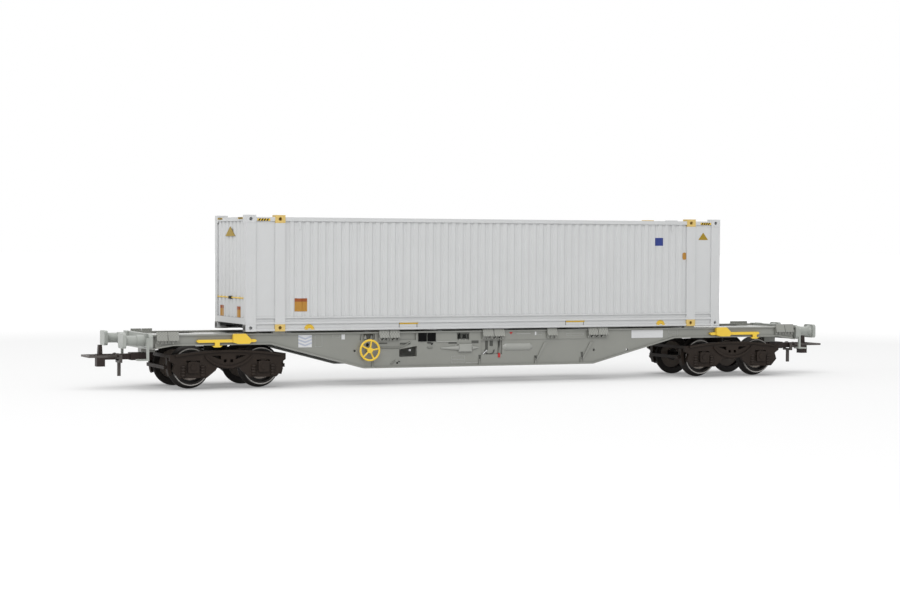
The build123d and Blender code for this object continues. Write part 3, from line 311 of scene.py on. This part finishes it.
def finish_nodes():
    """Gives every CAD node the finish of its slot."""
    slot_of = {part["node"]: part["material_slot"] for part in frame["record"]["subparts"]}
    made = {slot: paint(slot, colour, **looks) for slot, (colour, looks) in slot_finishes.items()}
    for name, item in frame["nodes"].items():
        material = made[slot_of[name]]
        if slot_of[name] == "wheel_steel":
            low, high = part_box(name)
            material = wheel_paint(f"{name}_finish", (low[0] + high[0]) / 2, (low[2] + high[2]) / 2)
        if name.startswith("folding_seats"):
            material = tread_paint(f"{name}_finish", *slot_finishes[slot_of[name]])
        if name.startswith("brake_gear"):
            material = paint(f"{name}_finish", gear_colour, **slot_finishes[slot_of[name]][1])
        if name.startswith("container_end"):
            colour, looks = slot_finishes[slot_of[name]]
            material = paint(f"{name}_finish", colour, **(looks | end_wall_looks))
        item.data.materials.clear()
        item.data.materials.append(material)
    return made


finishes = finish_nodes()
for marking, (marking_colour, marking_looks) in marking_finishes.items():
    finishes[marking] = paint(marking, marking_colour, **marking_looks)


# Shapes
def new_piece(name, shape, finish, body):
    """Turns a finished shape into a scene piece that rides on a body."""
    bmesh.ops.recalc_face_normals(shape, faces=shape.faces)
    mesh = bpy.data.meshes.new(name)
    shape.to_mesh(mesh)
    shape.free()
    mesh.materials.append(finishes[finish])
    item = bpy.data.objects.new(name, mesh)
    bpy.context.scene.collection.objects.link(item)
    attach(item, body)


def rectangle(low_u, high_u, low_v, high_v):
    """Outline of a rectangle, from its low corner."""
    return [(low_u, low_v), (high_u, low_v), (high_u, high_v), (low_u, high_v)]


def border(low_u, high_u, low_v, high_v, width):
    """Four thin bars along the edge of a rectangle."""
    return [rectangle(low_u, high_u, low_v, low_v + width),
            rectangle(low_u, high_u, high_v - width, high_v),
            rectangle(low_u, low_u + width, low_v + width, high_v - width),
            rectangle(high_u - width, high_u, low_v + width, high_v - width)]


def arc(centre_u, centre_v, radius, start, sweep, count):
    """Points of an arc, angles in degrees."""
    turns = [math.radians(start + sweep * step / count) for step in range(count + 1)]
    return [(centre_u + radius * math.cos(turn), centre_v + radius * math.sin(turn)) for turn in turns]


def disc(centre_u, centre_v, radius):
    """Outline of a circle."""
    return arc(centre_u, centre_v, radius, 0, 360, disc_corners)[:-1]


def rounded(low_u, high_u, low_v, high_v, radius):
    """Outline of a rectangle with round corners."""
    outline = []
    corners = ((high_u - radius, high_v - radius, 0), (low_u + radius, high_v - radius, 90),
               (low_u + radius, low_v + radius, 180), (high_u - radius, low_v + radius, 270))
    for centre_u, centre_v, start in corners:
        outline += arc(centre_u, centre_v, radius, start, 90, round_steps)
    return outline


def on_side(side, face_y):
    """Maps (x, z, outwards) to a point on an upright plane along the car."""
    return lambda u, v, out: Vector((u, side * (face_y + out), v))


def on_end(sign, face_x):
    """Maps (y, z, outwards) to a point on an upright plane across the car."""
    return lambda u, v, out: Vector((sign * (face_x + out), u, v))


def add_rings(shape, rings):
    """Closed solid through rings of points, capped at both ends."""
    rings = [[shape.verts.new(point) for point in ring] for ring in rings]
    shape.faces.new(rings[0])
    shape.faces.new(rings[-1])
    for below, above in zip(rings, rings[1:]):
        for here in range(len(below)):
            after = (here + 1) % len(below)
            shape.faces.new((below[here], below[after], above[after], above[here]))


def add_slab(shape, outline, place, low, high, chamfer):
    """Closed slab over an outline, from one height above the plane to another, with a chamfered face."""
    middle_u = sum(u for u, v in outline) / len(outline)
    middle_v = sum(v for u, v in outline) / len(outline)
    span_u = max(u for u, v in outline) - min(u for u, v in outline)
    span_v = max(v for u, v in outline) - min(v for u, v in outline)
    shrink_u, shrink_v = 1 - 2 * chamfer / span_u, 1 - 2 * chamfer / span_v
    face = [(middle_u + (u - middle_u) * shrink_u, middle_v + (v - middle_v) * shrink_v)
            for u, v in outline]
    levels = [(outline, low), (outline, high - chamfer)]
    if chamfer:
        levels.append((face, high))
    add_rings(shape, [[place(u, v, out) for u, v in ring] for ring, out in levels])


def smooth_path(points):
    """Points along a smooth curve through the given ones."""
    points = [Vector(point) for point in points]
    padded = [points[0] * 2 - points[1]] + points + [points[-1] * 2 - points[-2]]
    path = []
    for before, start, end, after in zip(padded, padded[1:], padded[2:], padded[3:]):
        for step in range(path_steps):
            t = step / path_steps
            path.append(0.5 * (2 * start + (end - before) * t
                               + (2 * before - 5 * start + 4 * end - after) * t ** 2
                               + (3 * start - before - 3 * end + after) * t ** 3))
    return path + [points[-1]]


def add_tube(shape, points, radius, across):
    """Round rod along a path; across is a direction that the path never takes."""
    points = [Vector(point) for point in points]
    rings = []
    for step, point in enumerate(points):
        along = (points[min(step + 1, len(points) - 1)] - points[max(step - 1, 0)]).normalized()
        first = along.cross(Vector(across)).normalized()
        second = along.cross(first)
        turns = [2 * math.pi * part / rod_corners for part in range(rod_corners)]
        rings.append([point + radius * (first * math.cos(turn) + second * math.sin(turn))
                      for turn in turns])
    add_rings(shape, rings)


def taper(middle_u, low_v, high_v, low_width, high_width):
    """Outline of an upright taper."""
    return [(middle_u - low_width / 2, low_v), (middle_u + low_width / 2, low_v),
            (middle_u + high_width / 2, high_v), (middle_u - high_width / 2, high_v)]


def add_film(shape, outline, surface, place, fall, thick):
    """Thin marking that follows the relief of a CAD face under a convex outline."""
    low_u, high_u = min(u for u, v in outline), max(u for u, v in outline)
    height = max(v for u, v in outline) - min(v for u, v in outline)
    columns = max(2, round((high_u - low_u) / film_step))
    rows = max(1, round(height / film_step / 2))
    faces = {-1: [], 1: []}
    for column in range(columns + 1):
        u = low_u + (high_u - low_u) * min(max(column / columns, film_share), 1 - film_share)
        crossings = []
        for (from_u, from_v), (to_u, to_v) in zip(outline, outline[1:] + outline[:1]):
            if min(from_u, to_u) <= u <= max(from_u, to_u) and from_u != to_u:
                crossings.append(from_v + (to_v - from_v) * (u - from_u) / (to_u - from_u))
        low_v, high_v = min(crossings), max(crossings)
        lines = {level: [] for level in faces}
        for row in range(rows + 1):
            start = place(u, low_v + (high_v - low_v) * row / rows, 0)
            hit = surface.ray_cast(start, fall)[0]
            for level, line in lines.items():
                line.append(shape.verts.new(hit - fall * level * thick))
        for level, line in lines.items():
            faces[level].append(line)
    for lines in faces.values():
        for line, beside in zip(lines, lines[1:]):
            for row in range(rows):
                shape.faces.new((line[row], beside[row], beside[row + 1], line[row + 1]))
    inner, outer = faces[-1], faces[1]
    for row in (0, rows):
        for column in range(columns):
            shape.faces.new((outer[column][row], outer[column + 1][row],
                             inner[column + 1][row], inner[column][row]))
    for column in (0, columns):
        for row in range(rows):
            shape.faces.new((outer[column][row], outer[column][row + 1],
                             inner[column][row + 1], inner[column][row]))


def surface_of(*names):
    """Search tree over the faces of CAD nodes."""
    points, faces = [], []
    for name in names:
        mesh = frame["nodes"][name].data
        faces += [[corner + len(points) for corner in face.vertices] for face in mesh.polygons]
        points += [point.co for point in mesh.vertices]
    return BVHTree.FromPolygons(points, faces)


def side_marking(name, outlines, nodes, finish, body, side=-1, thick=film):
    """Markings laid on the side faces of CAD nodes."""
    shape = bmesh.new()
    surface = surface_of(*nodes)
    for outline in outlines:
        add_film(shape, outline, surface, on_side(side, side_reach), Vector((0, -side, 0)), thick)
    new_piece(name, shape, finish, body)


def end_marking(name, outlines, nodes, finish, body, thick=film):
    """Markings laid on the faces of CAD nodes at end a."""
    shape = bmesh.new()
    surface = surface_of(*nodes)
    for outline in outlines:
        add_film(shape, outline, surface, on_end(-1, end_reach), Vector((1, 0, 0)), thick)
    new_piece(name, shape, finish, body)


def slab_piece(name, outline, place, low, high, chamfer, finish, body):
    """A piece that is one slab."""
    shape = bmesh.new()
    add_slab(shape, outline, place, low, high, chamfer)
    new_piece(name, shape, finish, body)


def near_point(surface, x, z):
    """Point where a level line from the near side meets a surface."""
    return surface.ray_cast(Vector((x, -side_reach, z)), Vector((0, 1, 0)))[0]


def both_ways(low_u, high_u, low_v, high_v):
    """A box given from the middle outwards, and its mirror image."""
    return (low_u, high_u, low_v, high_v), (-high_u, -low_u, low_v, high_v)


def stripes(low_u, high_u, low_v, high_v, width, lean):
    """Slanted bars along a strip."""
    count = round((high_u - low_u) / width / 2)
    pitch = (high_u - low_u) / count
    starts = [low_u + pitch * bar for bar in range(count)]
    return [[(start, low_v), (start + pitch / 2, low_v),
             (start + pitch / 2 + lean, high_v), (start + lean, high_v)] for start in starts]


# Hazard strips on the end bays of the top rails: low and high x, heights, then bar width and lean
hazard_places = ((-0.07505, -0.07120), (0.06960, 0.07335))
hazard_z = (0.04752, 0.04820)
hazard_bar = 0.00042
hazard_lean = 0.00042


def hazard_strips():
    """Yellow strips with black bars on both sides."""
    grounds, bars = [], []
    for low, high in hazard_places:
        grounds.append(rectangle(low, high, *hazard_z))
        bars += stripes(low + hazard_bar / 2, high - hazard_bar, *hazard_z, hazard_bar, hazard_lean)
    for side_name, side in sides:
        wall = (f"container_side_{side_name}",)
        side_marking(f"hazard_ground_{side_name}", grounds, wall,
                     "mark_yellow", "container", side)
        side_marking(f"hazard_bars_{side_name}", bars, wall,
                     "mark_black", "container", side, over_film)


# Half-round lifting marks on the bottom rails: centre x, radius and height of the foot
lift_mark_places = (-0.05930, 0.05572)
lift_mark_radius = 0.00155
lift_mark_z = 0.01655

# Grapple pockets in the bottom rails: low and high x, then the yellow bar and the thin dark posts below
# it, painted shade
grapple_places = ((-0.03150, -0.02545), (0.02291, 0.02937))
grapple_bar_z = (0.01775, 0.01835)
grapple_foot_z = 0.01655
grapple_post = 0.00014
bar_round = 0.00015


def rail_markings():
    """Half-round marks and grapple pockets of both bottom rails."""
    marks = [arc(place, lift_mark_z, lift_mark_radius, 0, 180, mark_steps) for place in lift_mark_places]
    bars, posts = [], []
    for low, high in grapple_places:
        far_post = high - 3 * grapple_post
        bars.append(rounded(low + grapple_post, high, *grapple_bar_z, bar_round))
        posts.append(rectangle(low, low + grapple_post, grapple_foot_z, grapple_bar_z[1]))
        posts.append(rectangle(far_post, far_post + grapple_post, grapple_foot_z, grapple_bar_z[0]))
    for side_name, side in sides:
        wall = (f"container_side_{side_name}",)
        side_marking(f"lift_marks_{side_name}", marks, wall,
                     "mark_yellow", "container", side)
        side_marking(f"grapple_bars_{side_name}", bars, wall,
                     "mark_yellow", "container", side)
        # Painted shade: thin dark posts at the edges of each grapple pocket
        side_marking(f"grapple_pocket_shades_{side_name}", posts, wall,
                     "shade_grey", "container", side)


# Plain labels and vents of the near side wall: low x, high x, low z, high z
amber_label = (-0.06369, -0.05999, 0.02174, 0.02549)
amber_band = 0.00095
blue_sign = (0.05334, 0.05678, 0.04075, 0.04365)
blue_border = 0.00022
oval_label = (0.06348, 0.06484, 0.03669, 0.03892)
oval_round = 0.00050
bay_plate = ((0.06898, 0.04285), (0.07248, 0.04285), (0.07073, 0.04515))
side_vents = ((-0.06249, -0.06179, 0.04520, 0.04700), (0.05940, 0.06020, 0.04560, 0.04730))
vent_depth = 0.00018


def side_labels():
    """Blank labels, sign and vents of the near side wall."""
    wall, body = ("container_side_near",), "container"
    low_x, high_x, low_z, high_z = amber_label
    side_marking("amber_label", [rectangle(low_x, high_x, low_z, high_z - amber_band)], wall,
                 "label_amber", body)
    side_marking("amber_label_head", [rectangle(low_x, high_x, high_z - amber_band, high_z)], wall,
                 "label_brown", body)
    low_x, high_x, low_z, high_z = blue_sign
    side_marking("blue_sign_edge", border(*blue_sign, blue_border), wall,
                 "plate_white", body)
    inner = rectangle(low_x + blue_border, high_x - blue_border,
                      low_z + blue_border, high_z - blue_border)
    side_marking("blue_sign", [inner], wall, "sign_blue", body)
    side_marking("oval_label", [rounded(*oval_label, oval_round)], wall,
                 "label_amber", body)
    side_marking("bay_plate", [list(bay_plate)], wall, "plate_amber", body)
    surface = surface_of(*wall)
    for number, (low_x, high_x, low_z, high_z) in enumerate(side_vents, 1):
        face_y = -near_point(surface, (low_x + high_x) / 2, (low_z + high_z) / 2).y
        outline = rounded(low_x, high_x, low_z, high_z, (high_x - low_x) / 3)
        slab_piece(f"vent_{number}", outline, on_side(-1, face_y), -film, vent_depth, vent_depth / 2,
                   "container_white", body)


# Markings of the wall at end a: nearest and farthest from the middle, low z, high z; the plate by
# its corners, the bar by heights and reach, the lock by its edges
end_hazard = (0.0074, 0.0117, 0.04800, 0.04855)
end_label = (0.0062, 0.0095, 0.02000, 0.02310)
end_label_band = 0.0009
end_plate = ((-0.0045, 0.0432), (0.0045, 0.0432), (0.0, 0.0459))
# Painted shade: grey over the end faces of the bottom corner castings and near-black in their holes
foot_casting_shade = (0.01192, 0.01444, 0.01620, 0.01811)
foot_hole_shade = (0.01265, 0.01375, 0.01650, 0.01785)
foot_round = 0.00045
end_bar_z = (0.02535, 0.02575)
end_bar_reach = 0.0123
end_lock = (-0.0011, 0.0011, 0.02516, 0.02594)
end_plate_depth = 0.00012
end_bar_depth = 0.00022


def end_markings():
    """Blank labels, hazard strips, painted shade on the foot castings, plate and yellow bar of the wall
    at end a.
    """
    wall, castings, body = ("container_end_a",), ("corner_castings",), "container"
    grounds = [rectangle(*box) for box in both_ways(*end_hazard)]
    end_marking("end_hazard_ground", grounds, wall, "mark_yellow", body)
    bars = []
    for low_y, high_y, low_z, high_z in both_ways(*end_hazard):
        bars += stripes(low_y, high_y - hazard_bar, low_z, high_z, hazard_bar, hazard_lean)
    end_marking("end_hazard_bars", bars, wall, "mark_black", body, over_film)
    inner, outer, low_z, high_z = end_label
    band_z = high_z - end_label_band
    for name, finish, low, high in (("end_labels", "label_amber", low_z, band_z),
                                    ("end_label_heads", "label_brown", band_z, high_z)):
        labels = [rectangle(*box) for box in both_ways(inner, outer, low, high)]
        end_marking(name, labels, wall, finish, body)
    faces = [rectangle(*box) for box in both_ways(*foot_casting_shade)]
    end_marking("foot_casting_shades", faces, castings, "casting_shade_grey", body)
    holes = [rounded(*box, foot_round) for box in both_ways(*foot_hole_shade)]
    end_marking("foot_casting_hole_shades", holes, castings, "shade_grey", body, over_film)
    face = on_end(-1, -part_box("container_end_a")[0][0] - film)
    slab_piece("end_plate", end_plate, face, -end_plate_depth, film, 0,
               "plate_amber", body)
    bar = rounded(-end_bar_reach, end_bar_reach, *end_bar_z, bar_round)
    slab_piece("end_bar", bar, face, -2 * end_bar_depth, 0, end_bar_depth / 2,
               "mark_yellow", body)
    slab_piece("end_lock", rounded(*end_lock, bar_round), face,
               -end_bar_depth, end_bar_depth, end_bar_depth / 3, "shade_grey", body)


# Plates, frames and bars on the near sill, and patches of painted shade over its recesses: low x, high
# x, low z, high z
chevron_plate = (-0.06225, -0.05812, 0.01140, 0.01500)
chevron_count = 3
chevron_drop = 0.00075
chevron_width = 0.00042
sign_plate = (0.04612, 0.05720, 0.01262, 0.01508)
sign_corner = 0.00020
small_plates = ((-0.04905, -0.04800, 0.01350, 0.01500), (0.01305, 0.01350, 0.01400, 0.01505))
pale_frames = (
    (-0.05720, -0.05500, 0.01150, 0.01500), (-0.05180, -0.04950, 0.01405, 0.01500),
    (-0.01434, -0.00998, 0.00710, 0.00815), (-0.01434, -0.00998, 0.00600, 0.00710),
    (0.01370, 0.01545, 0.01400, 0.01505), (0.02370, 0.02945, 0.01370, 0.01440),
    (0.05915, 0.06250, 0.01390, 0.01505), (0.05915, 0.06250, 0.01275, 0.01375),
)
frame_line = 0.00011
pale_bars = ((0.00690, 0.01160, 0.01430, 0.01458), (-0.00960, -0.00560, 0.00600, 0.00616))
shade_patches = (
    (-0.04200, -0.03870, 0.01350, 0.01505), (-0.01255, -0.00850, 0.01315, 0.01500),
    (-0.03080, -0.02752, 0.01178, 0.01228), (-0.03730, -0.03480, 0.01200, 0.01240),
    (-0.01530, -0.01265, 0.01175, 0.01225), (-0.00780, -0.00552, 0.01180, 0.01262),
    (-0.00312, -0.00225, 0.00980, 0.01250), (-0.00165, -0.00060, 0.01085, 0.01280),
)

# Dark spots of painted shade: centre x, z and radius; then the red mark by its corners
dark_shade_spots = ((-0.04100, 0.01186, 0.00048), (-0.03165, 0.00640, 0.00030))
red_mark = ((0.00450, 0.01500), (0.00570, 0.01500), (0.00510, 0.01425))

# Upright tapers on the near side: centre x, low z, high z, low width, high width. Grey ones are painted
# shade at the feet of gussets and in the brake gear, black ones painted shade in a recess, pale ones
# painted highlight on posts
shade_tapers = (
    (-0.03927, 0.00572, 0.00714, 0.00015, 0.00050), (-0.00508, 0.00580, 0.00832, 0.00015, 0.00095),
    (0.01337, 0.00594, 0.00782, 0.00015, 0.00085), (0.02903, 0.00600, 0.00867, 0.00015, 0.00085),
    (0.00131, 0.00893, 0.01290, 0.00015, 0.00050),
)
dark_shade_tapers = (
    (-0.01176, 0.01325, 0.01490, 0.00095, 0.00045), (-0.01005, 0.01325, 0.01488, 0.00120, 0.00060),
    (-0.00880, 0.01325, 0.01485, 0.00025, 0.00025),
)
highlight_tapers = (
    (-0.04150, 0.01352, 0.01470, 0.00085, 0.00015), (-0.03960, 0.01352, 0.01470, 0.00085, 0.00015),
)

# Painted shade of the hinge notches under the folding seats: centre x, width at the top and lean of
# each, then their heights
hinge_notch_shades = (
    (-0.03655, 0.00035, 0.00030), (-0.03530, 0.00025, 0.00000), (-0.03320, 0.00045, 0.00020),
    (-0.03182, 0.00030, 0.00000), (-0.00223, 0.00030, 0.00000), (-0.00054, 0.00035, 0.00025),
    (0.00106, 0.00050, 0.00010), (0.03218, 0.00030, 0.00000), (0.03382, 0.00045, 0.00030),
    (0.03556, 0.00030, 0.00000),
)
notch_z = (0.01320, 0.01375)


def sill_plates():
    """Blank plates and thin frames of the near sill, with painted shade over its recesses, notches and
    spots, and painted highlight on posts.
    """
    sill, body = ("side_sill_near",), "wagon"
    side_marking("chevron_plate", [rectangle(*chevron_plate)], sill,
                 "plate_white", body)
    low_x, high_x, low_z, high_z = chevron_plate
    middle_x = (low_x + high_x) / 2
    pitch = (high_z - low_z - chevron_drop) / chevron_count
    arms = []
    for number in range(chevron_count):
        top_z = high_z - pitch * number - chevron_width / 2
        tip_z = top_z - chevron_drop
        for edge_x in (low_x, high_x):
            arms.append([(edge_x, top_z), (middle_x, tip_z),
                         (middle_x, tip_z - chevron_width), (edge_x, top_z - chevron_width)])
    side_marking("chevrons", arms, sill, "chevron_grey", body, thick=over_film)
    side_marking("sign_plate", [rounded(*sign_plate, sign_corner)], sill,
                 "plate_white", body)
    side_marking("small_plates", [rectangle(*plate) for plate in small_plates], sill,
                 "plate_white", body)
    lines = [bar for box in pale_frames for bar in border(*box, frame_line)]
    side_marking("pale_frames", lines + [rectangle(*bar) for bar in pale_bars], sill,
                 "line_pale", body)
    shade_outlines = [rectangle(*patch) for patch in shade_patches] + [taper(*place) for place in shade_tapers]
    dark_shade_outlines = [taper(*place) for place in dark_shade_tapers] + [disc(*spot) for spot in dark_shade_spots]
    low_z, high_z = notch_z
    dark_shade_outlines += [[(x - width, low_z), (x, low_z), (x + width + lean, high_z), (x + lean, high_z)]
               for x, width, lean in hinge_notch_shades]
    highlight_outlines = [taper(*place) for place in highlight_tapers]
    recess = ("side_sill_near", "brake_gear_near", "folding_seats_near")
    # Painted shade: grey films over recesses, slots and the feet of gussets
    side_marking("recess_shades", shade_outlines, recess, "recess_shade_grey", body)
    # Painted shade: near-black films in the deepest recesses, spots and hinge notches
    side_marking("recess_dark_shades", dark_shade_outlines, recess, "shade_grey", body, thick=over_film)
    # Painted highlight: pale tapers on the lit posts of the recess over the handwheel
    side_marking("recess_post_highlights", highlight_outlines, recess, "line_pale", body, thick=over_film)
    side_marking("red_mark", [list(red_mark)], sill, "tag_red", body)


# Rods, hoses and levers on the near sill: name, finish, slot, radius and (x, z) points
sill_rods = (
    ("release_rod", "fitting_grey", "frame_grey", 0.00020,
     ((-0.03694, 0.01100), (-0.03300, 0.01093), (-0.03060, 0.01110), (-0.02870, 0.01190),
      (-0.02753, 0.01250))),
    ("brake_hose", "hose_grey", "black_paint", 0.00014,
     ((-0.00330, 0.00980), (-0.00290, 0.00885), (-0.00170, 0.00850), (-0.00055, 0.00890),
      (-0.00020, 0.00980))),
    ("valve_handle", "plate_white", "container_white", 0.00016,
     ((-0.00400, 0.00845), (-0.00265, 0.00966))),
    ("low_lever", "fitting_grey", "frame_grey", 0.00015,
     ((-0.03368, 0.00610), (-0.03310, 0.00650), (-0.03250, 0.00705), (-0.03225, 0.00720))),
    ("low_link", "hose_black", "black_paint", 0.00013, ((-0.03130, 0.00690), (-0.03080, 0.00675))),
    ("plate_hook", "hose_black", "black_paint", 0.00014,
     ((-0.02210, 0.01215), (-0.02060, 0.01205), (-0.02050, 0.01180), (-0.02090, 0.01165))),
    ("small_pipe", "fitting_grey", "frame_grey", 0.00015,
     ((-0.02210, 0.01080), (-0.02120, 0.01060), (-0.02040, 0.01075))),
    ("tag_rod", "fitting_grey", "frame_grey", 0.00014, ((0.00110, 0.01040), (0.00118, 0.00870))),
)

# Red tag: low x, high x, low z, high z; then its depth
red_tag = (0.00083, 0.00155, 0.00744, 0.00880)
tag_depth = 0.00022

# Access pin of the near web: centre x, z and radius; then how far in it lies, half its length, chamfer
access_pin = (-0.02740, 0.01005, 0.00030)
pin_inset = 0.0012
pin_reach = 0.0004
pin_chamfer = 0.0001


def sill_fittings():
    """Rods, hose, levers, red tag and access pin in front of the near web."""
    surface = surface_of("side_sill_near", "brake_gear_near")
    for name, finish, slot, radius, path in sill_rods:
        points = []
        for x, z in path:
            points.append((x, near_point(surface, x, z).y - radius, z))
        shape = bmesh.new()
        add_tube(shape, smooth_path(points) if len(points) > 2 else points, radius, (0, 1, 0))
        new_piece(name, shape, finish, "wagon")
    face_y = -near_point(surface, (red_tag[0] + red_tag[1]) / 2, red_tag[2]).y
    slab_piece("red_tag", rounded(*red_tag, tag_depth / 2), on_side(-1, face_y),
               -film, tag_depth, tag_depth / 3, "tag_red", "wagon")
    face_y = -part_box("side_sill_near")[0][1] - pin_inset
    slab_piece("access_pin", disc(*access_pin), on_side(-1, face_y),
               -pin_reach, pin_reach, pin_chamfer, "plate_white", "wagon")


hazard_strips()
rail_markings()
side_labels()
end_markings()
sill_plates()
sill_fittings()


# Stage
def make_camera():
    """The photograph's camera."""
    data = bpy.data.cameras.new("photo_camera")
    data.lens = camera_lens
    data.sensor_width = sensor_width
    data.clip_start, data.clip_end = clip_range
    camera = bpy.data.objects.new("photo_camera", data)
    bpy.context.scene.collection.objects.link(camera)
    heading, tilt = math.radians(camera_heading), math.radians(camera_tilt)
    back = Vector((math.sin(heading) * math.cos(tilt), -math.cos(heading) * math.cos(tilt),
                   math.sin(tilt)))
    turn = (-back).to_track_quat("-Z", "Y").to_matrix().to_4x4()
    roll = Matrix.Rotation(math.radians(camera_roll), 4, "Z")
    camera.matrix_world = Matrix.Translation(camera_place) @ turn @ roll
    bpy.context.scene.camera = camera


def looked_at(tree):
    """One where the camera, gloss or glass looks at a surface, zero for the light that it sends on."""
    ray = node(tree, "ShaderNodeLightPath")
    seen = ray.outputs["Is Camera Ray"]
    for kind in ("Is Glossy Ray", "Is Transmission Ray"):
        either = node(tree, "ShaderNodeMath", operation="MAXIMUM")
        tree.links.new(seen, either.inputs[0])
        tree.links.new(ray.outputs[kind], either.inputs[1])
        seen = either.outputs["Value"]
    return seen


def make_floor():
    """Pale floor that the camera sees as white, with the object's shadow kept."""
    mesh = bpy.data.meshes.new("floor")
    square = rectangle(-floor_reach, floor_reach, -floor_reach, floor_reach)
    mesh.from_pydata([(x, y, 0) for x, y in square], [], [(0, 1, 2, 3)])
    floor = bpy.data.objects.new("floor", mesh)
    bpy.context.scene.collection.objects.link(floor)
    material = bpy.data.materials.new("floor")
    material.use_nodes = True
    tree = material.node_tree
    tree.nodes.clear()
    link = tree.links.new
    out = node(tree, "ShaderNodeOutputMaterial")
    diffuse = node(tree, "ShaderNodeBsdfDiffuse")
    glow = node(tree, "ShaderNodeEmission")
    place = node(tree, "ShaderNodeTexCoord")
    away = node(tree, "ShaderNodeVectorMath", operation="LENGTH")
    link(place.outputs["Object"], away.inputs[0])
    level = spread_out(tree, away.outputs["Value"], *floor_fade, floor_glow, floor_far_glow)
    seen = looked_at(tree)
    near = node(tree, "ShaderNodeAmbientOcclusion", Distance=contact_reach, samples=contact_samples)
    clear = spread_out(tree, near.outputs["AO"], *contact_open, 1 - contact_depth, 1)
    shown = product(tree, product(tree, seen, level), clear)
    link(shown, glow.inputs["Strength"])
    shade = spread_out(tree, seen, 0, 1, floor_colour, floor_colour * floor_seen_share)
    link(product(tree, shade, clear), diffuse.inputs["Color"])
    both = node(tree, "ShaderNodeAddShader")
    link(diffuse.outputs["BSDF"], both.inputs[0])
    link(glow.outputs["Emission"], both.inputs[1])
    link(both.outputs["Shader"], out.inputs["Surface"])
    mesh.materials.append(material)


def make_world():
    """Even studio surround, white where the camera, gloss or glass looks past the object."""
    world = bpy.data.worlds.new("studio")
    bpy.context.scene.world = world
    world.use_nodes = True
    tree = world.node_tree
    ground = tree.nodes["Background"]
    ground.inputs["Color"].default_value = (1, 1, 1, 1)
    tree.links.new(spread_out(tree, looked_at(tree), 0, 1, surround_level, 1), ground.inputs["Strength"])


def make_lamp(name, place, aim, size, power):
    """Large soft panel lamp."""
    data = bpy.data.lights.new(name, "AREA")
    data.shape = "SQUARE"
    data.size = size
    data.energy = power
    lamp = bpy.data.objects.new(name, data)
    bpy.context.scene.collection.objects.link(lamp)
    lamp.location = place
    lamp.rotation_euler = (Vector(aim) - Vector(place)).to_track_quat("-Z", "Y").to_euler()


make_camera()
make_floor()
make_world()
for panel in lamps:
    make_lamp(*panel)
bpy.context.scene.view_settings.view_transform = "Standard"
